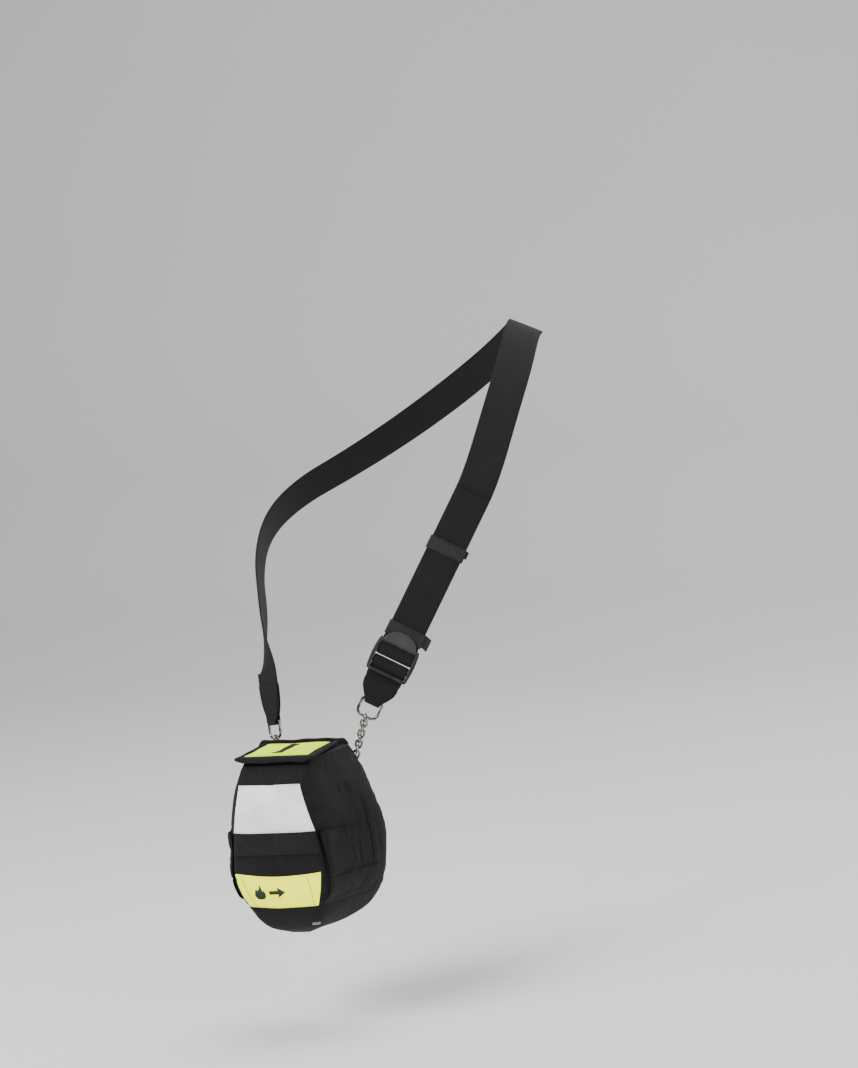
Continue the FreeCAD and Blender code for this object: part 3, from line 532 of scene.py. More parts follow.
def webbing_material(name, dark, light, pitch_across=0.0016, pitch_along=0.0011):
    """Ribbed webbing: the weave runs with the band, with a painted highlight on its thread tops."""
    n = Nodes(name)
    threads = n.weave(pitch_across, pitch_along)
    fade = n.noise(35, 4)
    colour = n.ramp(fade, (0.3, dark), (0.75, light))
    # painted highlight: the weave's thread tops are made lighter, as where light catches them
    colour = n.mix(n.times(threads, 0.4), colour, shade(light, 1.9))
    normal = n.bump(n.noise(90, 3), 0.0008, 0.3)
    normal = n.bump(threads, 0.0003, 0.9, normal)
    n.set(Roughness=n.line(0.62, fade, 0.16), Specular_IOR_Level=CLOTH_GLOSS)
    return n.set(Base_Color=colour, Normal=normal, Sheen_Weight=0.03, Sheen_Roughness=0.45)


def coated_material(name, dark, light, rough, painted_glow=0.0, grain=0.0009):
    """Coated bright fabric: small grain, soft creases, random patches that are partly dirt and partly painted
    sheen, and an optional painted glow.
    """
    n = Nodes(name)
    dirt_and_sheen = n.noise(26, 5)
    cells = n.cells(1 / grain, n.uv())
    # random light and dark patches: partly dirt, partly painted sheen
    colour = n.ramp(dirt_and_sheen, (0.25, dark), (0.6, light))
    colour = n.mix(n.times(cells, 0.25), colour, shade(dark, 0.8))
    normal = n.bump(n.noise(45, 3), 0.0012, 0.3)
    normal = n.bump(cells, 0.0001, 0.5, normal)
    # painted glow: the cloth gives off its own colour as light, though it is no lamp
    if painted_glow:
        n.set(Emission_Color=colour, Emission_Strength=painted_glow)
    n.set(Roughness=n.line(rough, dirt_and_sheen, 0.12), Specular_IOR_Level=0.08)
    return n.set(Base_Color=colour, Normal=normal)


def thread_material(name, dark, light):
    n = Nodes(name)
    twist = n.noise(2500, 2)
    colour = n.ramp(twist, (0.35, dark), (0.65, light))
    n.set(Specular_IOR_Level=CLOTH_GLOSS)
    return n.set(Base_Color=colour, Roughness=0.7, Normal=n.bump(twist, 0.0001, 0.8))


def steel_material(name):
    """Bright plated wire: fine scratches, and a colour far darker than bright steel, darkest in random spots,
    as painted dark reflections; the same spots vary its roughness.
    """
    n = Nodes(name)
    wear = n.noise(260, 5)
    # painted dark reflections: both ends of this ramp are far darker than bright steel
    colour = n.ramp(wear, (0.38, (0.035, 0.032, 0.028)), (0.6, (0.36, 0.335, 0.30)))
    normal = n.bump(n.noise(1800, 2), 0.00004, 0.5)
    n.set(Roughness=n.line(0.06, wear, 0.14), Normal=normal)
    return n.set(Base_Color=colour, Metallic=1.0, Coat_Weight=0.6)


def plastic_material(name, dark, light, rough):
    """Moulded plastic: fine spark-eroded grain, rubbed lighter in places."""
    n = Nodes(name)
    wear = n.noise(70, 5)
    colour = n.ramp(wear, (0.4, dark), (0.7, light))
    normal = n.bump(n.noise(1700, 2), 0.00005, 0.6)
    return n.set(Base_Color=colour, Roughness=n.line(rough, wear, 0.15), Normal=normal, Coat_Weight=0.1)


def foil_material(name):
    n = Nodes(name)
    creases = n.cells(55, n.object_place(), "DISTANCE_TO_EDGE")
    colour = n.ramp(n.noise(80, 4), (0.3, (0.55, 0.56, 0.57)), (0.7, (0.83, 0.84, 0.85)))
    normal = n.bump(creases, 0.004, 0.5)
    normal = n.bump(n.noise(220, 4), 0.0006, 0.6, normal)
    return n.set(Base_Color=colour, Metallic=0.9, Roughness=0.28, Normal=normal)


def grain_material(name, dark, light, scale, rough=0.7):
    """Granules, rubber or paper: mottled colour and a small bump."""
    n = Nodes(name)
    cells = n.cells(scale, n.object_place())
    colour = n.ramp(cells, (0.1, light), (0.7, dark))
    return n.set(Base_Color=colour, Roughness=rough, Normal=n.bump(cells, 0.4 / scale, 0.6))


def visor_material(name):
    n = Nodes(name)
    haze = n.noise(40, 4)
    colour = n.ramp(haze, (0.3, (0.8, 0.86, 0.85)), (0.7, (0.95, 0.97, 0.97)))
    return n.set(Base_Color=colour, Roughness=n.line(0.05, haze, 0.08), Transmission_Weight=0.85, IOR=1.49)


def grey(level, blue=None):
    return (level, level, level if blue is None else blue)


MATERIALS = {
    "fabric": fabric_material("fabric_black", grey(0.0045, 0.005), grey(0.0105, 0.0115)),
    "binding": fabric_material("binding_black", grey(0.006, 0.0065), grey(0.014, 0.015), 0.0005),
    "webbing": webbing_material("webbing_black", grey(0.0035, 0.004), grey(0.0085, 0.0095)),
    "elastic": webbing_material("elastic_black", grey(0.01), grey(0.025), 0.001, 0.001),
    "hook": grain_material("hook_loop_black", grey(0.004), grey(0.02), 900, 0.9),
    # patch, band and label: the number after the roughness is a painted glow; the label's two colours also
    # carry painted sheen
    "patch": coated_material("patch_yellow", (0.52, 0.72, 0.0), (0.64, 0.88, 0.0), 0.7, 0.8),
    "band": coated_material("band_yellow", (0.86, 0.90, 0.01), (0.95, 0.99, 0.02), 0.7, 1.0),
    "label": coated_material("label_silver", (0.62, 0.64, 0.67), (0.96, 0.97, 0.98), 0.5, 0.2, 0.0006),
    "symbol": coated_material("symbol_dark", (0.02, 0.03, 0.02), (0.04, 0.055, 0.035), 0.6),
    "tag": coated_material("tag_grey", (0.20, 0.21, 0.23), (0.34, 0.35, 0.37), 0.8),
    "thread": thread_material("thread_black", grey(0.004, 0.005), grey(0.014, 0.015)),
    "thread_grey": thread_material("thread_grey", grey(0.010, 0.011), grey(0.032, 0.035)),
    "thread_yellow": thread_material("thread_yellow", (0.45, 0.48, 0.03), (0.65, 0.68, 0.06)),
    "thread_olive": thread_material("thread_olive", (0.01, 0.01, 0.005), (0.03, 0.03, 0.01)),
    "steel": steel_material("steel_bright"),
    "plastic": plastic_material("plastic_black", grey(0.010, 0.011), (0.028, 0.027, 0.027), 0.26),
    "plastic_grey": plastic_material("plastic_worn", (0.019, 0.018, 0.018), (0.036, 0.033, 0.033), 0.38),
    "foil": foil_material("foil_crinkled"),
    "tear": plastic_material("tear_red", (0.35, 0.02, 0.015), (0.55, 0.05, 0.03), 0.4),
    "hood": fabric_material("hood_orange", (0.45, 0.13, 0.02), (0.66, 0.24, 0.05), 0.0005, 0.1),
    "visor": visor_material("visor_clear"),
    "rubber": grain_material("rubber_black", grey(0.008), grey(0.02), 1500, 0.55),
    "silicone": grain_material("valve_silicone", (0.48, 0.44, 0.36), (0.62, 0.58, 0.5), 1500, 0.45),
    "filter": plastic_material("filter_plastic", (0.06, 0.07, 0.08), (0.13, 0.145, 0.155), 0.4),
    "carbon": grain_material("carbon_grains", grey(0.004), grey(0.05), 800),
    "catalyst": grain_material("catalyst_grains", (0.03, 0.018, 0.01), (0.13, 0.08, 0.05), 700),
    "paper": grain_material("filter_paper", (0.55, 0.54, 0.5), (0.82, 0.81, 0.77), 1200, 0.9),
}
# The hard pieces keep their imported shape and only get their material.
CARRIED = {
    "steel": ("right_chain", "left_chain", "right_strap_ring", "left_strap_ring", "right_pouch_ring",
              "left_pouch_ring", "filter_screens"),
    "rubber": ("half_mask", "filter_plug"),
    "silicone": ("inhale_valve_disc", "exhale_valve_disc"),
    "filter": ("filter_housing", "filter_cover", "inhale_valve_seat", "exhale_valve_seat", "exhale_cover"),
    "carbon": ("carbon_bed",),
    "catalyst": ("catalyst_bed",),
    "paper": ("particle_pleat",),
    "visor": ("visor",),
}


def dress_carried_nodes():
    for look, names in CARRIED.items():
        for name in names:
            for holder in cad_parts[name].material_slots:
                holder.material = MATERIALS[look]


# ---------------------------------------------------------------- the pouch's surface
def resample(line, cells):
    """Evenly spaced points along a line, without the last one."""
    distance = travelled(line)
    wanted = np.linspace(0, distance[-1], cells + 1)[:-1]
    return np.stack([np.interp(wanted, distance, line[:, axis]) for axis in range(2)], axis=1)


def outline(z):
    """The pouch's outline at one height: front, right side, back, left side."""
    front, side, front_y, back_y = (np.interp(z, LEVELS[:, 0], LEVELS[:, k]) for k in (1, 2, 3, 4))
    depth = back_y - front_y
    flare = side - front
    right = np.array([
        (front, front_y),
        (side - 0.5 * flare, back_y - 0.55 * depth),
        (side - 0.07 * flare, back_y - 0.15 * depth),
        (side * BACK_CORNER, back_y),
    ])
    left = right[::-1] * np.array((-1, 1))
    runs = [
        np.array((left[-1], right[0])),
        smooth_line(right, 12),
        np.array((right[-1], left[0])),
        smooth_line(left, 12),
    ]
    points = np.concatenate([resample(run, cells) for run, cells in zip(runs, CELLS)])
    share = np.clip(1 - (np.arange(CELLS[0]) / CELLS[0] * 2 - 1) ** 2, 0, 1)
    points[:CELLS[0], 1] -= FRONT_CROWN * ease(z, 10, 30) * share
    return xyz(points[:, 0], points[:, 1], z)


def soften(grid):
    """Rounds the corners and the ruled levels a little."""
    for _ in range(4):
        grid[1:-1] = (grid[:-2] + 2 * grid[1:-1] + grid[2:]) / 4
    for _ in range(2):
        grid = (np.roll(grid, 1, 1) + 2 * grid + np.roll(grid, -1, 1)) / 4
    return grid


def pin_weights(grid):
    """How firmly each point of the fabric is held: seams and edges hold, the middle is free."""
    rows, cols = grid.shape[:2]
    weights = np.zeros((rows, cols))
    for height in (BOWL_TOP, POCKET_TOP):
        weights[np.abs(grid[:, 0, 2] - height) < 2.4] = 0.75
    for corner in CORNERS[:-1]:
        weights[:, corner] = np.maximum(weights[:, corner], 0.8)
    weights[:, CORNERS[2]:CORNERS[3] + 1] = 1.0
    weights[:2] = 1.0
    weights[-2:] = 1.0
    return weights


CLOTH = {
    "quality": 6,
    "mass": 0.35,
    "tension_stiffness": 12,
    "compression_stiffness": 12,
    "bending_stiffness": 0.6,
    "vertex_group_mass": "pinned",
    "use_pressure": True,
    "uniform_pressure_force": 4,
    "shrink_min": -0.012,
}
CLOTH_FRAMES = 20


def inflate(grid):
    """Cloth simulation of the pouch's skin: the filling presses it out between the seams."""
    rows, cols = grid.shape[:2]
    start = grid.reshape(-1, 3) * MM
    piece = mesh_object("skin_simulation", start, grid_faces(rows, cols, closed=True, capped=True))
    group = piece.vertex_groups.new(name="pinned")
    for index, weight in enumerate(pin_weights(grid).ravel()):
        if weight > 0:
            group.add([index], float(weight), "REPLACE")
    cloth = piece.modifiers.new("cloth", "CLOTH")
    for key, value in CLOTH.items():
        setattr(cloth.settings, key, value)
    cloth.settings.effector_weights.gravity = 0
    cloth.collision_settings.use_collision = False
    cloth.point_cache.frame_start = 1
    cloth.point_cache.frame_end = CLOTH_FRAMES
    scene = bpy.context.scene
    for step in range(1, CLOTH_FRAMES + 1):
        scene.frame_set(step)
    depsgraph = bpy.context.evaluated_depsgraph_get()
    moved = np.array([v.co[:] for v in piece.evaluated_get(depsgraph).data.vertices]) / MM
    scene.frame_set(1)
    bpy.data.objects.remove(piece)
    move = moved - start / MM
    length = np.linalg.norm(move, axis=1, keepdims=True)
    move *= np.minimum(1, CLOTH_CAP / np.maximum(length, 1e-9))
    return (start / MM + move).reshape(rows, cols, 3)


def refine(grid):
    """Twice as many points both ways, for the fine folds."""
    between = (grid + np.roll(grid, -1, 1)) / 2
    wide = np.stack([grid, between], axis=2).reshape(len(grid), -1, 3)
    fine = np.empty((2 * len(wide) - 1,) + wide.shape[1:])
    fine[0::2] = wide
    fine[1::2] = (wide[:-1] + wide[1:]) / 2
    return fine


def grid_normals(grid):
    """Outward directions on a grid that is closed round its columns."""
    around = np.roll(grid, -1, 1) - np.roll(grid, 1, 1)
    return unit(np.cross(around, np.gradient(grid, axis=0)))


def bumpiness(points, scale, seed):
    shift = Vector((seed, 0, 0))
    values = [noise.noise(Vector(p) / scale + shift) for p in points.reshape(-1, 3)]
    return np.array(values).reshape(points.shape[:-1])


def section_of(column):
    """Station of a grid column: 0..1 front, 1..2 right side, 2..3 back, 3..4 left side."""
    return np.interp(column, CORNERS, np.arange(5))


def wrinkle(grid):
    """Fabric detail: soft waves, drag lines under the lid, the pleat beside the pocket, a pressed ring."""
    station = section_of(np.arange(grid.shape[1]) / 2)[None, :] * np.ones((grid.shape[0], 1))
    z = grid[..., 2]
    depth = 1.1 * bumpiness(grid, 42, 3) + 0.55 * bumpiness(grid * np.array((1, 1, 2.2)), 20, 7)
    side = near(station, 1.08, 1.9, 0.1) + near(station, 3.1, 3.92, 0.1)
    depth += 0.5 * np.sin(grid[..., 1] / 7.5 + z / 26) * near(z, 128, 180, 14) * side
    fold = 2.0 + 3.6 * ease(z, 62, 16)
    for middle in (1.032, 3.968):
        depth -= fold * np.clip(1 - np.abs(station - middle) / 0.05, 0, 1) * near(z, 47, 116, 4)
    away = np.linalg.norm(grid - np.array(PRESSED_RING), axis=2)
    depth += 1.2 * groove(away, PRESSED_RING_RADIUS, 1.8) - 0.5 * groove(away, 0, 6)
    for seam in (1 + POCKET_SEAM_T, 4 - POCKET_SEAM_T):
        depth -= SEAM_DEPTH * groove(station, seam, 0.018) * near(z, 112, UPRIGHT_SEAM_TOP, 6)
    depth *= np.clip(z / 12, 0, 1) * np.clip((BODY_TOP - z) / 10, 0, 1)
    depth *= np.where((station > 2) & (station < 3), 0.25, 1.0)
    return grid + grid_normals(grid) * depth[..., None]


SKIN = wrinkle(refine(inflate(soften(np.array([outline(z) for z in np.linspace(0, BODY_TOP, ROWS)])))))
SKIN_NORMALS = grid_normals(SKIN)


def sample(table, station, z):
    """A table of the skin's points or normals, read between its rows and columns."""
    column = 2 * np.interp(np.mod(station, 4), np.arange(5), CORNERS)
    last = table.shape[0] - 1
    row = np.clip(z / BODY_TOP * last, 0, last)
    left = np.floor(column).astype(int)
    low = np.minimum(np.floor(row).astype(int), last - 1)
    across = (column - left)[..., None]
    up = (row - low)[..., None]
    cols = table.shape[1]
    a, b = left % cols, (left + 1) % cols
    return ((table[low, a] * (1 - across) + table[low, b] * across) * (1 - up)
            + (table[low + 1, a] * (1 - across) + table[low + 1, b] * across) * up)


def on_skin(station, z, out=0.0):
    """Points on the pouch's surface, lifted off it by out."""
    station, z = np.broadcast_arrays(np.asarray(station, float), np.asarray(z, float))
    out = np.asarray(out, float)[..., None] * np.ones(station.shape + (1,))
    return sample(SKIN, station, z) + sample(SKIN_NORMALS, station, z) * out


def skin_line(stations, heights, out):
    """A line on the pouch's surface, with its normals, for stitches."""
    s, z = np.broadcast_arrays(np.asarray(stations, float), np.asarray(heights, float))
    return on_skin(s, z, out), sample(SKIN_NORMALS, s, z)


def skin_patch(name, stations, heights, out, thick, pinch=0.0):
    """Piece of fabric that lies on the pouch's surface; pinch draws its edges down."""
    s, z = stations, heights
    if s.ndim == 1:
        s, z = np.meshgrid(s, z)
    rows, cols = s.shape
    r = np.minimum(np.arange(rows), np.arange(rows)[::-1])[:, None]
    c = np.minimum(np.arange(cols), np.arange(cols)[::-1])[None, :]
    lift = out - pinch * np.clip(1 - np.minimum(r, c) / 1.5, 0, 1)
    return slab(name, on_skin(s, z, lift), on_skin(s, z, lift - thick))


# ---------------------------------------------------------------- stitches
STITCH = (3.4, 2.5, 0.28)       # pitch, length and thread radius
WEB_STITCH = (2.6, 2.0, 0.25)
STITCH_SIDES = 6
UP = (0, 0, 1)


def row(half, y, z, normal, x=0):
    """A straight line across a piece, for stitches."""
    return [(x - half, y, z), (x + half, y, z)], normal


def add_stitch(vertices, faces, place, normal, radius):
    """One stitch: a short spindle of thread between the first and last of three places."""
    across = unit(np.cross(place[2] - place[0], normal))
    first = len(vertices)
    for spot, size, lift in zip(place, (0.45, 1.0, 0.45), (-0.2, 0.25, -0.2)):
        for turn in range(STITCH_SIDES):
            angle = turn * math.pi / 3
            offset = across * math.cos(angle) + normal * (math.sin(angle) + lift)
            vertices.append(spot + offset * radius * size)
    faces += grid_faces(3, STITCH_SIDES, first, closed=True)
    faces.append([first + turn for turn in range(5, -1, -1)])
    faces.append([first + 12 + turn for turn in range(STITCH_SIDES)])


def read_line(distance, table, place):
    """A table's row at a distance along its line."""
    return np.array([np.interp(place, distance, table[:, k]) for k in range(3)])


def stitches(name, lines, slot="fabric_black", look="thread", size=STITCH, body="pouch", matrix=POUCH):
    """Rows of sewn stitches. Each line is (points, normals) in local mm."""
    pitch, length, radius = size
    vertices, faces = [], []
    for points, normals in lines:
        points = np.asarray(points, float)
        normals = np.asarray(normals, float) * np.ones_like(points)
        distance = travelled(points)
        for start in np.arange(0.4, distance[-1] - length, pitch):
            place = [read_line(distance, points, start + length * t) for t in (0, 0.5, 1)]
            normal = unit(read_line(distance, normals, start + length / 2))
            add_stitch(vertices, faces, place, normal, radius)
    piece = mesh_object(name, to_row(np.array(vertices), matrix), faces)
    return settle(piece, body, look, slot=slot)


# ---------------------------------------------------------------- pouch panels
def build_body_panels():
    """The panels between the pouch's corners; all but the back are padded."""
    panels = (
        ("front_panel", 0, POCKET_TOP, BODY_TOP),
        ("front_pocket", 0, BOWL_TOP, POCKET_TOP),
        ("right_gusset", 1, BOWL_TOP, BODY_TOP),
        ("left_gusset", 3, BOWL_TOP, BODY_TOP),
        ("back_panel", 2, BOWL_TOP, BODY_TOP),
    )
    for node, side, low, high in panels:
        soft = node != "back_panel"
        stations = np.linspace(side, side + 1, 2 * CELLS[side] + 1)
        piece = skin_patch(node + "_cloth", stations, span(low, high, 2.0), 0.0, PANEL, 0.5 if soft else 0.0)
        settle(piece, "pouch", "fabric", node)


def build_floor():
    """Bowl-shaped floor: rings of the skin, drawn together at the middle."""
    heights = span(0, BOWL_TOP, 2.0)
    s, z = np.meshgrid(section_of(np.arange(sum(CELLS))), heights)
    outer = on_skin(s, z)
    inner = on_skin(s, z, -PANEL)
    inner[..., 2] += 1.5 * np.clip(1 - heights / 12, 0, 1)[:, None]
    middle = outer[0].mean(axis=0)
    grids = []
    for rings, centre in ((outer, middle), (inner, middle + np.array((0, 0, WALL)))):
        caps = [centre + (rings[0] - centre) * share for share in (0.0, 0.35, 0.7)]
        grids.append(close(np.concatenate([caps, rings])))
    settle(slab("floor_cloth", *grids), "pouch", "fabric", "bottom_panel")


def pocket_fall(t, z):
    """How far the side pocket's upper part sinks towards the back."""
    low, high = SIDE_POCKET
    return POCKET_FALL * ease(t, SIDE_POCKET_SPAN[0], 0.6) * ease(z, low, high - low) ** 2


def pocket_shape():
    """The side pocket's grid: reach along the side, height, and how far it stands out."""
    low, high = SIDE_POCKET
    t, z = np.meshgrid(np.linspace(*SIDE_POCKET_SPAN, 72), span(low, high, 1.2))
    front = np.clip(1 - (t - t[0, 0]) / 0.25, 0, 1)
    top = np.clip((z - high + POCKET_LIP) / POCKET_LIP, 0, 1)
    z = z - pocket_fall(t, z)
    out = POCKET_OUT[0] + POCKET_OUT[1] * front ** 2 + POCKET_OUT[2] * top * front
    out -= POCKET_THICK * groove(z, POCKET_SEAM_Z, 1.1)
    out -= SEAM_DEPTH * groove(t, POCKET_SEAM_T, 0.012) * (z > POCKET_SEAM_Z)
    rows, cols = t.shape
    r = np.minimum(np.arange(rows), 3)[:, None] / 3
    c = np.minimum(np.arange(cols)[::-1], 3)[None, :] / 3
    return t, z, out * (0.45 + 0.55 * np.minimum(r, c))


def build_side_pockets():
    """Second layer on each side, open behind its front edge, with a cross seam and an upright seam."""
    low, high = SIDE_POCKET
    t, z, out = pocket_shape()
    reach = np.linspace(SIDE_POCKET_SPAN[0] + 0.02, SIDE_POCKET_SPAN[1] - 0.02, 60)
    rows = (
        (reach, POCKET_SEAM_Z + SEAM_ROW, 1.6),
        (reach, POCKET_SEAM_Z - SEAM_ROW, 1.6),
        (reach, low + 2.0, 0.9),
        (reach, high - 2.5 - pocket_fall(reach, high), 2.3),
        (POCKET_SEAM_T + 0.02, span(POCKET_SEAM_Z + 3, high - 9, 2), 1.4),
        (POCKET_SEAM_T + 0.03, span(high - 3, UPRIGHT_SEAM_TOP, 2), 0.15),
    )
    for name, corner, way in (("right", 1, 1), ("left", 4, -1)):
        s = corner + way * t
        outer = on_skin(s, z, out)[:, ::way]
        inner = on_skin(s, z, out - POCKET_THICK)[:, ::way]
        piece = slab(name + "_side_pocket_cloth", outer, inner)
        settle(piece, "pouch", "fabric", name + "_side_pocket")
        lines = [skin_line(corner + way * place, height, lift) for place, height, lift in rows]
        stitches(name + "_pocket_stitches", lines)


def trapezoid(margins, low, high, columns, step):
    """Grid of the front between two heights; margins: left, right at the bottom, right at the top."""
    z = span(low, high, step)
    wide = 2 * np.interp(z, LEVELS[:, 0], LEVELS[:, 1])
    left = margins[0] / wide
    right = np.interp(z, (low, high), margins[1:]) / wide
    t = np.linspace(0, 1, columns)
    stations = left[:, None] + (1 - left - right)[:, None] * t[None, :]
    return stations, z[:, None] * np.ones((1, columns))


def band_dip(stations, z):
    """The yellow band sags in its middle, most along its top edge, and its corners are rounded."""
    share = (z - YELLOW[0]) / (YELLOW[1] - YELLOW[0])
    sag = (2.2 + 1.6 * share) * np.sin(np.clip(stations, 0, 1) * math.pi)
    return sag + 2.2 * ease(np.abs(stations - 0.5), 0.44, 0.06) ** 2 * (2 * share - 1)


def build_front_layers():
    for name, look, node, layer, margins, step, thick, pinch in (
            ("front_band_cloth", "binding", "front_band", BAND, (2.0, 2.0, 2.0), 1.5, 1.0, 0.6),
            ("reflective_label_sheet", "label", "reflective_label", LABEL, (0.0, 0.4, 5.5), 2.0, 0.5, 0.25),
            ("yellow_band_sheet", "band", "yellow_band", YELLOW, (2.2, 5.0, 5.5), 1.5, 0.8, 0.35)):
        low, high, out = layer
        stations, z = trapezoid(margins, low, high, 44, step)
        if layer is YELLOW:
            z = z - band_dip(stations, z)
        settle(skin_patch(name, stations, z, out, thick, pinch), "pouch", look, node)
    build_front_stitches()
    build_symbols()
    tag = skin_patch("seam_tag_tape", np.linspace(0.88, 1.02, 8), span(14.4, 17.2, 0.7), 1.0, 0.5, 0.1)
    settle(tag, "pouch", "tag", "seam_tag")


def build_front_stitches():
    across = np.linspace(0.04, 0.96, 90)
    lines = [skin_line(across, z, 1.35) for z in (BAND[0] + SEAM_ROW, BAND[1] - SEAM_ROW)]
    lines += [skin_line(s, span(97, 116, 2), 1.35) for s in (0.045, 0.955)]
    lines += [skin_line(across, z, 0.15) for z in (90.5, 35.0)]
    stitches("front_band_stitches", lines)
    rows = ((0.97, LABEL[0] + 1.3), (0.90, LABEL[1] - 1.3))
    lines = [skin_line(np.linspace(0.02, end, 90), z, 0.75) for end, z in rows]
    stitches("label_stitches", lines, "label_silver", "tag", (3.0, 2.1, 0.2))
    down = np.linspace(YELLOW[1] - 1, YELLOW[0] + 1, 20)
    lines = [band_line(np.linspace(top, low, 20), down) for top, low in ((0.10, 0.13), (0.80, 0.89))]
    stitches("yellow_band_cross_stitches", lines, "band_yellow", "thread_olive", (2.2, 2.0, 0.34))
    lines = [band_line(np.linspace(0.06, 0.93, 90), z) for z in (YELLOW[0] + 1.8, YELLOW[1] - 1.8)]
    stitches("yellow_band_stitches", lines, "band_yellow", "thread_yellow", (2.6, 2.0, 0.22))


def band_line(stations, z):
    return skin_line(stations, z - band_dip(stations, z), 1.15)


def flat_symbol(name, points, centre, *nodes):
    """Printed mark: an outline laid on the yellow band."""
    spots = np.array(points, float) + np.array(centre)
    half = np.interp(spots[:, 1], LEVELS[:, 0], LEVELS[:, 1])
    points = to_row(on_skin(0.5 + spots[:, 0] / (2 * half), spots[:, 1], YELLOW[2] + 0.35))
    piece = mesh_object(name, points, [list(range(len(points)))], spots * MM)
    thicken(piece, 0.25)
    settle(piece, "pouch", "symbol", *nodes)


def build_symbols():
    """Plain pointed flame and a plain arrow, in place of the printed pictures."""
    flame = [(0, -8), (4, -7.4), (6, -4.6), (6.2, -0.5), (4.6, 3.0), (3.4, 1.2), (2.8, 5.0), (0.6, 9.2),
             (0.2, 4.6), (-2.2, 2.2), (-3.4, 4.8), (-5.6, 0.6), (-6.2, -3.6), (-3.8, -7.2)]
    arrow = [(-9, -2.1), (1, -2.1), (0.4, -6.0), (9, 0), (0.4, 6.0), (1, 2.1), (-9, 2.1)]
    flat_symbol("flame_mark", flame, (-24, 55), "band_symbols")
    flat_symbol("arrow_mark", arrow, (-4, 55))


def build_seams():
    """Rows of stitches beside the upright corner seams and round the sides of the floor."""
    lines = [skin_line(s, span(98, 186, 2), 0.1) for s in (1.045, 3.955)]
    lines += [skin_line(s, span(40, 186, 2), 0.1) for s in (1.95, 3.05)]
    lines += [skin_line(np.linspace(s + 0.02, s + 0.98, 90), 33.5, 0.1) for s in (1, 3)]
    stitches("corner_stitches", lines)


# ---------------------------------------------------------------- mouth, rim and lid
def build_mouth():
    """Flat frame round the mouth, between the skin's top edge and the mouth's own edge."""
    ring = on_skin(section_of(np.arange(sum(CELLS))), BODY_TOP, -0.4)[:, :2]
    away = ring - MOUTH_CENTRE
    reach = np.min(MOUTH_HALF / np.maximum(np.abs(away), 1e-6), axis=1)
    hole = MOUTH_CENTRE + away * np.minimum(reach, 0.95)[:, None]
    rows = []
    for share, lift in ((0, 0.0), (0.06, 1.3), (0.2, 1.9), (0.55, 1.7), (0.9, 1.9), (1, 1.2)):
        flat = ring * (1 - share) + hole * share
        rows.append(xyz(flat[:, 0], flat[:, 1], BODY_TOP + lift))
    outer = close(np.array(rows))
    inner = outer - np.array((0, 0, 1.6))
    inner[..., 2] = np.minimum(inner[..., 2], BODY_TOP + 0.1)
    settle(slab("mouth_frame_cloth", outer, inner), "pouch", "binding", "mouth_frame")
    build_tape("front_loop_tape", BODY_TOP + 2.0, "pouch", "front_loop_strip")


def build_tape(name, z, body, node):
    """Hook or loop tape: a thin tape with rows of small tufts."""
    x, y = np.meshgrid(span(*TAPE_X, 0.7), span(*TAPE_Y, 0.7))
    tuft = 0.18 * np.sin(x * 4.5) * np.sin(y * 4.5)
    settle(slab(name, xyz(x, y, z + 0.7 - 0.2 + tuft), xyz(x, y, z)), body, "hook", node)


def build_rim():
    """The back panel's rim: a stiff edge with its binding folded over the top."""
    x, t = np.meshgrid(span(-RIM_HALF, RIM_HALF, 2.0), np.linspace(0, 1, 13))
    wave = 0.4 * np.sin(x / 9) + 0.3 * np.sin(x / 4.1 + 1)
    top = RIM_TOP - 5.5 * ease(np.abs(x), 46, 6) ** 2 + wave
    z = RIM_LOW + (top - RIM_LOW) * t
    bind = 0.45 * (t > 0.45) - 0.9 * ease(t, 0.9, 0.1)
    settle(slab("rim_binding_cloth", xyz(x, -2.2 - bind, z), xyz(x, -0.2 + bind, z)), "pouch", "binding")
    stitches("rim_stitches", [(xyz(span(-48, 48, 2), -2.75, 194.2), (0, -1, 0))])


def lid_top(x, y):
    """Height of the lid's upper face: slightly crowned and uneven."""
    crown = 0.9 * (1 - (x / LID_HALF) ** 2) * np.sin(math.pi * ease(y, LID_Y[0], LID_Y[1] - LID_Y[0]))
    ripple = 0.25 * np.sin(x / 8 + y / 15) + 0.2 * np.sin(y / 6 - x / 19)
    return LID_Z[1] - 0.3 + crown + ripple


def build_lid():
    x, y = np.meshgrid(span(-LID_HALF, LID_HALF, 2.0), span(*LID_Y, 2.0))
    edge = np.clip((np.abs(x) - LID_HALF + 3) / 3, 0, 1)
    piece = slab("lid_cloth", xyz(x, y, lid_top(x, y) - 0.7 * edge), xyz(x, y, LID_Z[0] + 0.2 + 0.4 * edge))
    bevel(piece, 0.7)
    settle(piece, "lid", "fabric", "lid_panel")
    build_lid_lip()
    build_lid_edges()
    build_patch()
    build_tape("lid_hook_tape", LID_Z[0] - 0.5, "lid", "lid_hook_strip")


def build_lid_lip():
    """The tape over the lid's front edge hangs as a deeper lip, which thins towards its ends."""
    profile = ((-84.5, 197.0), (-87.0, 197.2), (-89.3, 196.9), (-90.4, 195.6), (-90.5, 193.5), (-90.1, 190.8))
    x = span(-LID_HALF - 0.6, LID_HALF + 0.6, 2.0)
    wave = 0.35 * np.sin(x / 7) + 0.25 * np.sin(x / 3.3 + 2)
    taper = 1 - 0.5 * ease(np.abs(x), 30, LID_HALF - 30) ** 2
    outer, inner = [], []
    for index, (y, z) in enumerate(profile):
        share = index / (len(profile) - 1)
        height = LID_Z[1] + (z - LID_Z[1]) * taper + wave * share
        outer.append(xyz(x, y - 0.3 * wave * share, height))
        inner.append(xyz(x, y + 0.9 - 0.3 * wave * share, height - 0.9 * (1 - share)))
    settle(slab("lid_front_lip", np.array(outer), np.array(inner)), "lid", "binding", "lid_binding")


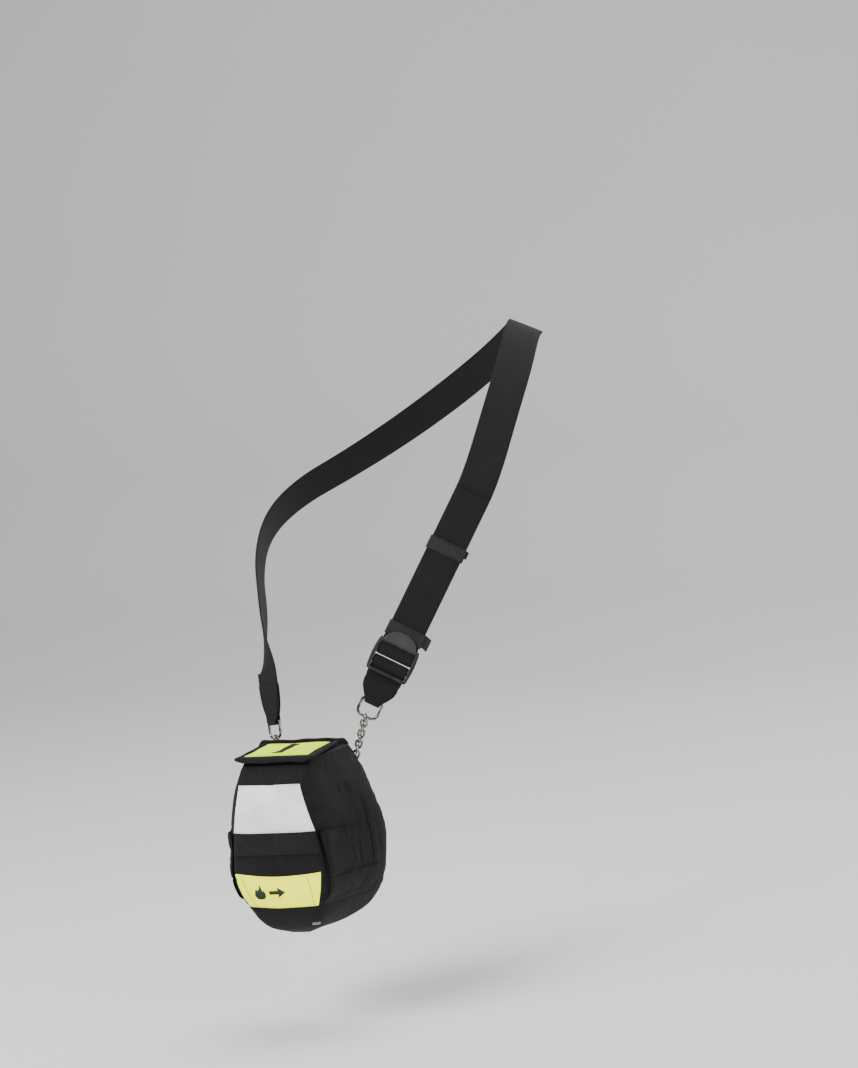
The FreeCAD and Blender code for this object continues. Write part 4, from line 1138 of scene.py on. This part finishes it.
def build_lid_edges():
    """Tape folded over the lid's side edges, and the stitches round the lid."""
    section = ((-3.6, 197.0), (-1.2, 197.1), (0.5, 196.4), (0.9, 195.0), (0.5, 193.7), (-1.2, 193.0),
               (-3.6, 193.1))
    lines = []
    for name, sign in (("right", 1), ("left", -1)):
        y = span(LID_Y[0] + 1, LID_Y[1], 2.0)
        outer = np.array([xyz(sign * (LID_HALF + dx), y, z + 0.2 * np.sin(y / 5)) for dx, z in section])
        middle = np.array((sign * (LID_HALF - 2.0), 0, 195.05))
        inner = outer + (middle - outer) * np.array((0.3, 0, 0.3))
        settle(slab(name + "_lid_tape", outer[::-sign], inner[::-sign]), "lid", "binding")
        lines.append((xyz(sign * (LID_HALF - 2.6), span(-84, -11, 2), 197.15), UP))
    lines.append((xyz(span(-40, 40, 2), -85.6, 197.2), UP))
    stitches("lid_stitches", lines, body="lid")


def build_patch():
    x, y = np.meshgrid(span(-PATCH_HALF, PATCH_HALF, 2.0), span(*PATCH_Y, 2.0))
    base = lid_top(x, y)
    edge = np.maximum(np.abs(x) / PATCH_HALF, np.abs(y - np.mean(PATCH_Y)) / (PATCH_Y[1] - PATCH_Y[0]) * 2)
    top = xyz(x, y, base + (0.75 - 0.5 * ease(edge, 0.95, 0.05)))
    settle(slab("lid_patch_sheet", top, xyz(x, y, base + 0.02)), "lid", "patch", "lid_patch")
    ys = span(PATCH_Y[0] + 2, PATCH_Y[1] - 2, 2)
    xs = span(-PATCH_HALF + 2, PATCH_HALF - 2, 2)
    rows = [(sign * (PATCH_HALF - 1.6), ys) for sign in (1, -1)]
    rows += [(xs, PATCH_Y[0] + 1.6), (xs, PATCH_Y[1] - 1.6)]
    lines = [(xyz(px, py, lid_top(px, py) + 0.75), UP) for px, py in rows]
    stitches("patch_stitches", lines, "patch_yellow", "thread_yellow", (2.8, 2.1, 0.2), "lid")


def build_pull_tab():
    """Narrow strip across the patch, sewn at the back, with a hooked free end."""
    along = np.array([(TAB_FREE_Y, -8.6, 3.2), (-69, -6.2, 3.9), (-65, -4.0, 3.9), (-46, -3.9, 3.9),
                      (-34, -3.9, 3.9), (-29, -3.9, 4.8), (TAB_SEWN_Y, -3.6, 6.0)])
    ys = span(TAB_FREE_Y, TAB_SEWN_Y, 1.5)
    left = np.interp(ys, along[:, 0], along[:, 1])
    right = np.interp(ys, along[:, 0], along[:, 2])
    t = np.linspace(0, 1, 7)
    x = left[:, None] * (1 - t) + right[:, None] * t
    y = ys[:, None] * np.ones_like(x)
    outer = xyz(x, y, LID_Z[1] + 2.1 + 0.15 * np.sin(y / 4) - 0.3 * np.abs(2 * t - 1) ** 4)
    piece = slab("pull_tab_webbing", outer, outer - np.array((0, 0, 0.9)))
    settle(piece, "opening_tab", "webbing", "pull_tab")
    lines = [row(3.1, TAB_SEWN_Y - dy, LID_Z[1] + 2.2, UP, 0.5) for dy in (1.5, 4.5)]
    stitches("pull_tab_stitches", lines, "webbing_black", size=(1.8, 1.4, 0.2), body="opening_tab")


# ---------------------------------------------------------------- sewn webbing ends and loops
def tab_half(table, wave):
    """Half width of a tapered end at each height, with a slightly uneven edge."""
    heights, halves = zip(*table)
    return lambda z: float(np.interp(z, heights, halves) + wave * math.sin(z / 1.7))


RIGHT_HALF = tab_half([(-37, 8.6), (-33, 9.4), (-29, 12.2), (-25, 15.4), (-20, 18.2), (-14, 19.7),
                       (-9, 19.2), (-5, 20.2), (2, 20.2), (14, 20.2)], 0.15)
LEFT_HALF = tab_half([(-4, 8.6), (0, 9.4), (6, 12.2), (12, 15.0), (18, 17.4), (24, 18.8), (30, 18.6),
                      (38, 19.8), (42, 19.6)], 0.25)


def build_end_tabs():
    """Right: a loop from its ring up round the adjuster's lower bar. Left: folded round its ring."""
    y, z = END_TAB_Y, END_TAB_Z
    profile = arc(y, z, RING_BEND, 0, -180, 10)
    profile += [(y - 1.3, z + 6), (y - 1.15, z + 16), (y - 1.2, -9), (2.4, -4.5), (1.5, -0.6)]
    profile += arc(0, LOW_BAR_Z - BAR_REACH, BAR_BEND, 215, 180, 3)
    profile += arc(0, LOW_BAR_Z + BAR_REACH, BAR_BEND, 180, 0, 10)
    profile += [(3.7, 7), (4.3, 2), (4.8, -4), (y + 1.2, -9), (y + 1.15, z + 16), (y + 1.3, z + 6)]
    piece = ribbon("right_end_webbing", FRONT_RUN, smooth_line(profile, closed=True), RIGHT_HALF, closed=True)
    settle(piece, "strap", "webbing", "right_end_tab")
    top = LEFT_TAB + 3.0
    profile = [(1.15, top), (1.15, 20), (1.25, 7)] + arc(0, 0, RING_BEND, 0, -180, 10)
    profile += [(-1.25, 7), (-1.15, 20), (-1.15, top)]
    piece = ribbon("left_end_webbing", LEFT_RUN, smooth_line(profile), LEFT_HALF)
    settle(piece, "strap", "webbing", "left_end_tab")
    build_end_stitches("right_end_stitches", FRONT_RUN, RIGHT_HALF, END_TAB_Y, (-26.5, -12.0, -7.5))
    build_end_stitches("left_end_stitches", LEFT_RUN, LEFT_HALF, 0.0, (7.0, 20.0, 25.0, 34.0))


def build_end_stitches(name, matrix, half_at, middle, rows):
    """Rows across a tapered end and along its folded edges, on both faces."""
    lines = []
    z = np.linspace(rows[0], rows[-1], 12)
    edge = np.array([half_at(v) - SEAM_ROW for v in z])
    for side in (-1, 1):
        y = middle + side * (2.3 + 0.05)
        lines += [row(half_at(v) - SEAM_ROW, y, v, (0, side, 0)) for v in rows]
        lines += [(xyz(sign * edge, y, z), (0, side, 0)) for sign in (-1, 1)]
    stitches(name, lines, "webbing_black", size=WEB_STITCH, body="strap", matrix=matrix)


def build_back_webbing():
    """Waist belt loop and the two loops that hold the pouch's rings."""
    rising = [(0.9, 41), (1.0, 46), (1.6, 50), (6.3, 54), (6.5, 62)]
    falling = [(y, 2 * BELT_LOOP_MIDDLE - z) for y, z in reversed(rising)]
    profile = smooth_line(rising + [(6.5, BELT_LOOP_MIDDLE)] + falling, 5)
    piece = ribbon("belt_loop_webbing", POUCH, profile, lambda z: BELT_LOOP_HALF, 1.9, columns=33)
    settle(piece, "pouch", "webbing", "belt_loop")
    lines = [(xyz(span(-33, 33, 3), 2.0, z), (0, 1, 0)) for z in (43, 47, 115, 119)]
    y, z = POUCH_RING_BAR
    profile = [(1.2, 130), (1.3, 145), (1.3, z - 7)] + arc(y, z, RING_BEND, 190, -10, 10)
    profile += [(5.6, z - 6), (2.7, z - 12), (2.3, 130)]
    for name, x in POUCH_RINGS.items():
        loop = ribbon(name + "_ring_webbing", POUCH, smooth_line(profile), lambda z: 6.4, 1.0, x, columns=9)
        settle(loop, "pouch", "webbing", name + "_ring_loop")
        lines += [row(5.2, 2.95, v, (0, 1, 0), x) for v in (132, 136, 140, 144)]
    stitches("back_webbing_stitches", lines, "webbing_black", size=(2.4, 1.9, 0.24))


# ---------------------------------------------------------------- strap
def spline_points(name, controls):
    """Points along a NURBS spline of order 3 through its control points."""
    data = bpy.data.curves.new(name, "CURVE")
    data.dimensions = "3D"
    spline = data.splines.new("NURBS")
    spline.points.add(len(controls) - 1)
    for point, place in zip(spline.points, controls):
        point.co = (*place, 1)
    spline.order_u = 3
    spline.use_endpoint_u = True
    data.resolution_u = 10
    holder = bpy.data.objects.new(name, data)
    mesh = bpy.data.meshes.new_from_object(holder)
    points = np.array([v.co[:] for v in mesh.vertices])
    bpy.data.objects.remove(holder)
    bpy.data.meshes.remove(mesh)
    return points


def strap_route():
    """Control points of the strap's middle line, and of the way its face looks, end to end."""
    outward = FRONT_RUN.to_3x3().normalized() @ Vector((0, -1, 0))
    far_out = LEFT_RUN.to_3x3().normalized() @ Vector((0, -1, 0))
    places = [FRONT_RUN @ Vector((0, WEB_LAYER_Y, z)) for z in (37, 190, 235)]
    places += [Vector(place) for place, face in ROUTE]
    places += [LEFT_RUN @ Vector((0, 0, LEFT_TAB + rise)) for rise in (24, 9, 1.2)]
    faces = [outward] * 3 + [Vector(face).normalized() for place, face in ROUTE] + [far_out] * 3
    return places, faces


def web_section():
    """Cross-section of the webbing: flat, with soft rounded selvedges."""
    half, thick = WEB_HALF, WEB_THICK / 2
    top = [(x, thick * (1 - 0.12 * (x / half) ** 2)) for x in np.linspace(-half + 1.2, half - 1.2, 21)]
    edge = [(half - 0.35, 0.62 * thick), (half, 0), (half - 0.35, -0.62 * thick)]
    low = [(x, -y) for x, y in reversed(top)]
    return np.array(top + edge + low + [(-x, -y) for x, y in edge])


def build_strap():
    places, looks = strap_route()
    line = spline_points("strap_route", places)
    tangent = unit(np.gradient(line, axis=0))
    across = unit(np.cross(tangent, spline_points("strap_faces", looks)))
    outward = np.cross(across, tangent)
    section = web_section() * MM
    grid = (line[:, None, :] + across[:, None, :] * section[None, :, :1]
            + outward[:, None, :] * section[None, :, 1:])
    rows, cols = grid.shape[:2]
    uv = np.stack([np.tile(section[:, 0], (rows, 1)), np.tile(travelled(line)[:, None], (1, cols))], axis=-1)
    faces = grid_faces(rows, cols, closed=True, capped=True)
    piece = mesh_object("strap_webbing_band", grid.reshape(-1, 3), faces, uv.reshape(-1, 2))
    settle(piece, "strap", "webbing", "strap_webbing")


def build_tail():
    """Adjusting tail: lies on the webbing, its end folded back and sewn."""
    y = TAIL_LAYER_Y
    profile = smooth_line([
        (y, TAIL[0] + 0.2), (y, 60), (y, 90), (y - 0.1, 94), (y - 0.5, 96.5), (y - 0.1, 99), (y, 103),
        (y, 150), (y, 196), (y - 0.35, 203), (y - 0.45, TAIL[1] - 0.4)], 8)
    piece = ribbon("strap_tail_webbing", FRONT_RUN, profile, lambda z: WEB_HALF - 0.1)
    settle(piece, "strap", "webbing", "strap_tail")
    lines = [row(18.5, y - 1.6, z, (0, -1, 0)) for z in (97.0, 203.5, 207.0, 212.5)]
    stitches("tail_stitches", lines, "webbing_black", "thread_grey", WEB_STITCH, "strap", FRONT_RUN)


# ---------------------------------------------------------------- adjuster and keepers
FRAME_EDGE = 0.8                # rounding of the moulded frame's edges
RAIL_Y = (-5.9, 2.4)
RAIL_INNER = 20.45              # its side rails' inner and outer x; the outer edge bows out by RAIL_BOW
RAIL_OUTER = 22.6
RAIL_BOW = 2.1
BAR_RADIUS = 2.15
BAR_HALF = 21.4
THUMB_Z = 33.2                  # the thumb tab is half an ellipse above this height
THUMB_HALF = 18.9
THUMB_RISE = 14.7


def prism_object(name, outline, y0, y1, width=FRAME_EDGE, segments=3):
    """Outline in (x, z) of the front run, pushed from y0 to y1, with rounded edges."""
    count = len(outline)
    points = [(x, y, z) for y in (y0, y1) for x, z in outline]
    faces = [list(range(count)), list(range(2 * count - 1, count - 1, -1))]
    for a in range(count):
        b = (a + 1) % count
        faces.append([b, a, a + count, b + count])
    piece = mesh_object(name, to_row(points, FRONT_RUN), faces)
    bevel(piece, width, segments, 30)
    return apply_modifiers(piece)


def bar(name, z, reach=0.0):
    """Moulded bar across the frame, a little thicker at its ends."""
    turns = np.linspace(0, 2 * math.pi, 25)[:-1]
    xs = span(-BAR_HALF, BAR_HALF, 2.0)
    swell = BAR_RADIUS * (1 + 0.18 * np.clip((np.abs(xs) - BAR_HALF + 3) / 3, 0, 1) ** 2)
    lift = reach * np.sign(np.sin(turns))
    points = np.array([[(x, r * math.cos(a), z + r * math.sin(a) + rise) for a, rise in zip(turns, lift)]
                       for x, r in zip(xs, swell)])
    rows, cols = points.shape[:2]
    return mesh_object(name, to_row(points.reshape(-1, 3), FRONT_RUN), grid_faces(rows, cols, closed=True))


def rail_outline(sign):
    """Side rail of the frame, bowed outwards; its inner edge is straight."""
    zs = np.linspace(-1.8, 36, 15)
    outer = [(sign * (RAIL_OUTER + RAIL_BOW * math.sin(math.pi * (z + 1.8) / 37.8) ** 0.6), z) for z in zs]
    return (outer + [(sign * RAIL_INNER, 35.6), (sign * RAIL_INNER, -1.5)])[::sign]


def build_adjuster():
    pieces = [prism_object("rail", rail_outline(sign), *RAIL_Y) for sign in (1, -1)]
    pieces.append(bar("bar_low", LOW_BAR_Z))
    pieces.append(bar("bar_cross", CROSS_BAR_Z, BAR_REACH))
    sill = [(-22.6, -1.9), (22.6, -1.9), (22.9, 1.1), (-22.9, 1.1)]
    pieces.append(prism_object("sill", sill, -6.5, -4.0))
    lintel = [(-23.4, 31.6), (23.4, 31.6), (22.2, 35.6), (-22.2, 35.6)]
    pieces.append(prism_object("lintel", lintel, -6.3, -4.2, 0.7))
    settle(join("adjuster_frame", pieces), "adjuster_body", "plastic", "adjuster")
    turns = np.linspace(0, math.pi, 25)
    thumb = [(THUMB_HALF * math.cos(a), THUMB_Z + THUMB_RISE * math.sin(a)) for a in turns]
    settle(prism_object("adjuster_thumb_tab", thumb, -6.9, -4.3, 0.7, 4), "adjuster_body", "plastic_grey")
    low, high = CROSS_BAR_Z - 1 - BAR_REACH, CROSS_BAR_Z + BAR_REACH
    profile = [(1.7, 37.5), (2.6, 33)] + arc(0, high, WRAP_BEND, 15, 0, 2)
    profile += arc(0, low, WRAP_BEND, 0, -180, 12) + arc(0, high, WRAP_BEND, -180, -195, 2)
    profile += [(-3.0, 31.5), (-1.0, 37.5)]
    wrap = ribbon("adjuster_wrap_webbing", FRONT_RUN, smooth_line(profile), lambda z: 20.4)
    settle(wrap, "adjuster_body", "webbing", "adjuster_wrap")


def rounded_outline(half_x, half_y, radius, steps):
    """Rounded rectangle, anticlockwise."""
    points = []
    for quarter, (sx, sy) in enumerate(((1, 1), (-1, 1), (-1, -1), (1, -1))):
        for step in range(steps + 1):
            turn = math.radians(90 * (quarter + step / steps))
            points.append((sx * (half_x - radius) + radius * math.cos(turn),
                           sy * (half_y - radius) + radius * math.sin(turn)))
    return points


def keeper_band(name, z, height):
    """The keeper's loop round the webbing."""
    section = rounded_outline(21.6, 3.75, 2.6, 5)
    heights = np.linspace(z + 0.1, z + height - 0.1, 9)
    points = to_row([[(x, y + 0.4, level) for x, y in section] for level in heights], FRONT_RUN)
    rows, cols = points.shape[:2]
    uv = metric_uv(close(points))[:, :-1].reshape(-1, 2)
    loop = mesh_object(name, points.reshape(-1, 3), grid_faces(rows, cols, closed=True), uv)
    thicken(loop, 1.0)
    return apply_modifiers(loop)


def keeper_end(name, z, height, length, rise):
    """The sewn end that stands out past the webbing, and droops a little."""
    heights = span(z + rise + 0.3, z + height - 0.3, 1.2)
    x, zz = np.meshgrid(21.0 + np.linspace(0, 1, 9) * (length + 0.5), heights)
    reach = (x - 21.0) / length
    zz = zz - 0.25 * length * reach ** 1.5
    return slab(name, xyz(x, -1.15 + 0.35 * reach ** 2, zz), xyz(x, 1.15 - 0.35 * reach ** 2, zz), FRONT_RUN)


def build_keepers():
    for name, (body, z, height, length, rise) in KEEPERS.items():
        pieces = [keeper_band(name + "_loop", z, height), keeper_end(name + "_end", z, height, length, rise)]
        settle(join(name + "_webbing", pieces), body, "elastic", name)
        lines = [row(19, -3.45, z + d, (0, -1, 0)) for d in (1.6, height - 1.6)]
        stitches(name + "_stitches", lines, "webbing_black", "thread", (2.6, 2.0, 0.22), body, FRONT_RUN)


# ---------------------------------------------------------------- packed hood
def bag_section(z):
    half, y0, y1 = (float(np.interp(z, BAG[:, 0], BAG[:, k])) for k in (1, 2, 3))
    cut = BAG_CUT
    corners = [(-half + cut, y0), (half - cut, y0), (half, y0 + cut), (half, y1 - cut),
               (half - cut, y1), (-half + cut, y1), (-half, y1 - cut), (-half, y0 + cut)]
    line = []
    for (xa, ya), (xb, yb) in zip(corners, corners[1:] + corners[:1]):
        line += [(xa + (xb - xa) * t, ya + (yb - ya) * t, z) for t in np.arange(8) / 8]
    return line


def drawn_in(ring, middle, shares, lift=0.0):
    """Copies of a ring of points, drawn in towards its middle."""
    return [middle + (ring - middle) * np.array((s, s, 1)) + np.array((0, 0, lift * (1 - s))) for s in shares]


def build_bag():
    """Sealed foil bag: creased, drawn together at its top seam under the tear strip."""
    grid = np.array([bag_section(z) for z in span(BAG[0, 0], BAG[-1, 0], 3)])
    crease = np.abs(bumpiness(grid, 16, 11)) * 1.6 + 0.5 * bumpiness(grid, 6, 13)
    grid = grid - grid_normals(grid) * np.clip(crease, 0, 1.8)[..., None]
    base, top = grid[0], grid[-1]
    caps = drawn_in(top, np.array((0, top[:, 1].mean(), BAG[-1, 0])), (0.75, 0.45, 0.15), 0.6)
    floors = drawn_in(base, np.array((0, base[:, 1].mean(), base[0, 2])), (0.15, 0.5, 0.8))
    grid = np.concatenate([floors, grid, caps])
    rows, cols = grid.shape[:2]
    piece = mesh_object("foil_bag_sheet", to_row(grid.reshape(-1, 3)), grid_faces(rows, cols, closed=True))
    thicken(piece, 0.3)
    settle(apply_modifiers(piece), "pouch", "foil", "foil_bag")
    x, z = np.meshgrid(span(-TEAR_STRIP_HALF, TEAR_STRIP_HALF, 2), span(*TEAR_STRIP_Z, 0.9))
    y = TEAR_STRIP_Y + 0.3 * np.sin(x / 4)
    settle(slab("tear_strip_film", xyz(x, y - 0.5, z), xyz(x, y + 0.5, z)), "pouch", "tear", "tear_strip")


def there_and_back(near_end, far_end, flipped):
    """Three places along one fold of cloth, from one end to the other."""
    start, stop = (far_end, near_end) if flipped else (near_end, far_end)
    return start, (start + stop) / 2, stop


def build_folded_hood():
    """Hood cloth folded to and fro: upright folds behind the mask, flat folds above the filter."""
    profile = []
    for index, y in enumerate(np.linspace(-12.2, -16.2, 4)):
        profile += [(y, z) for z in there_and_back(42, 136, index % 2)]
    for index, z in enumerate(np.linspace(140.5, 156.0, 8)):
        profile += [(y, z) for y in there_and_back(-46.5, -14.5, index % 2)]
    piece = ribbon("folded_hood_cloth", POUCH, smooth_line(profile), lambda z: HOOD_HALF, 0.6, columns=15)
    settle(piece, "pouch", "hood", "folded_hood")


def build_harness():
    """Two flat elastic rings, rippled where they are gathered."""
    turns = np.linspace(0, 2 * math.pi, 97)
    ripple = HARNESS_Y[0] + 0.15 * np.sin(12 * turns)
    for name, radius, nodes in (("harness_outer", 29.8, ("head_harness",)), ("harness_inner", 21.8, ())):
        rings = [radius - HARNESS_BAND * share for share in np.linspace(0, 1, 5)]
        front = np.array([xyz(r * np.cos(turns), ripple, HARNESS_Z + r * np.sin(turns)) for r in rings])
        piece = slab(name, front, front + np.array((0, HARNESS_Y[1] - HARNESS_Y[0], 0)))
        settle(piece, "pouch", "elastic", *nodes, slot="elastic_black")


def build_neck_seal():
    """Gathered elastic collar: a ring with a round section."""
    radius, section = NECK_SEAL
    turns = np.linspace(0, 2 * math.pi, 73)
    around = np.linspace(0, 2 * math.pi, 13)[:-1]
    points = []
    for a in turns[:-1]:
        thick = section * (1 + 0.08 * math.sin(24 * a))
        for b in around:
            r = radius + thick * math.cos(b)
            points.append((r * math.cos(a), NECK_SEAL_Y + r * math.sin(a), NECK_SEAL_Z + thick * math.sin(b)))
    count = len(points)
    faces = [[corner % count for corner in quad] for quad in grid_faces(len(turns), len(around), closed=True)]
    piece = mesh_object("neck_seal_collar", to_row(points), faces)
    settle(piece, "pouch", "rubber", "neck_seal")


# ---------------------------------------------------------------- studio
FLOOR_Z = -0.72
STUDIO_CENTRE = (-0.15, -0.15, -0.4)
LIGHTS = {                      # place, size, power
    "key": ((-1.3, -2.2, 1.7), 1.4, 105),
    "fill": ((2.2, -1.9, 0.4), 1.6, 34),
    "top": ((0.0, 0.2, 2.0), 1.6, 40),
    "rim": ((1.4, 1.8, 0.9), 1.2, 22),
}


def build_lights():
    for name, (place, size, power) in LIGHTS.items():
        data = bpy.data.lights.new(name, "AREA")
        data.size = size
        data.energy = power
        light = bpy.data.objects.new(name, data)
        light.location = place
        light.rotation_euler = (Vector(STUDIO_CENTRE) - Vector(place)).to_track_quat("-Z", "Y").to_euler()
        bpy.context.scene.collection.objects.link(light)


def build_studio():
    """Even pale light, four soft lamps, and a floor that sweeps up into a wall."""
    world = bpy.data.worlds.new("studio")
    world.use_nodes = True
    world.node_tree.nodes["Background"].inputs[0].default_value = (0.95, 0.97, 1.0, 1)
    world.node_tree.nodes["Background"].inputs[1].default_value = 0.30
    bpy.context.scene.world = world
    n = Nodes("studio_floor")
    colour = n.ramp(n.noise(0.6, 3), (0.3, (0.80, 0.80, 0.79)), (0.7, (0.84, 0.84, 0.83)))
    n.set(Base_Color=colour, Roughness=0.9)
    profile = [(-8.0, 0), (2.0, 0), (2.6, 0.05), (3.1, 0.3), (3.4, 0.8), (3.5, 6.72)]
    points = [(x, y, FLOOR_Z + rise) for x in (-9, 9) for y, rise in profile]
    count = len(profile)
    faces = [[a, count + a, count + a + 1, a + 1] for a in range(count - 1)]
    floor = mesh_object("studio_sweep", points, faces)
    floor.data.materials.append(n.material)
    build_lights()


# ---------------------------------------------------------------- make everything
def build():
    build_camera()
    build_strap()
    build_tail()
    build_end_tabs()
    build_adjuster()
    build_keepers()
    build_body_panels()
    build_floor()
    build_side_pockets()
    build_front_layers()
    build_seams()
    build_mouth()
    build_rim()
    build_lid()
    build_pull_tab()
    build_back_webbing()
    build_bag()
    build_folded_hood()
    build_harness()
    build_neck_seal()
    dress_carried_nodes()
    build_studio()


build()
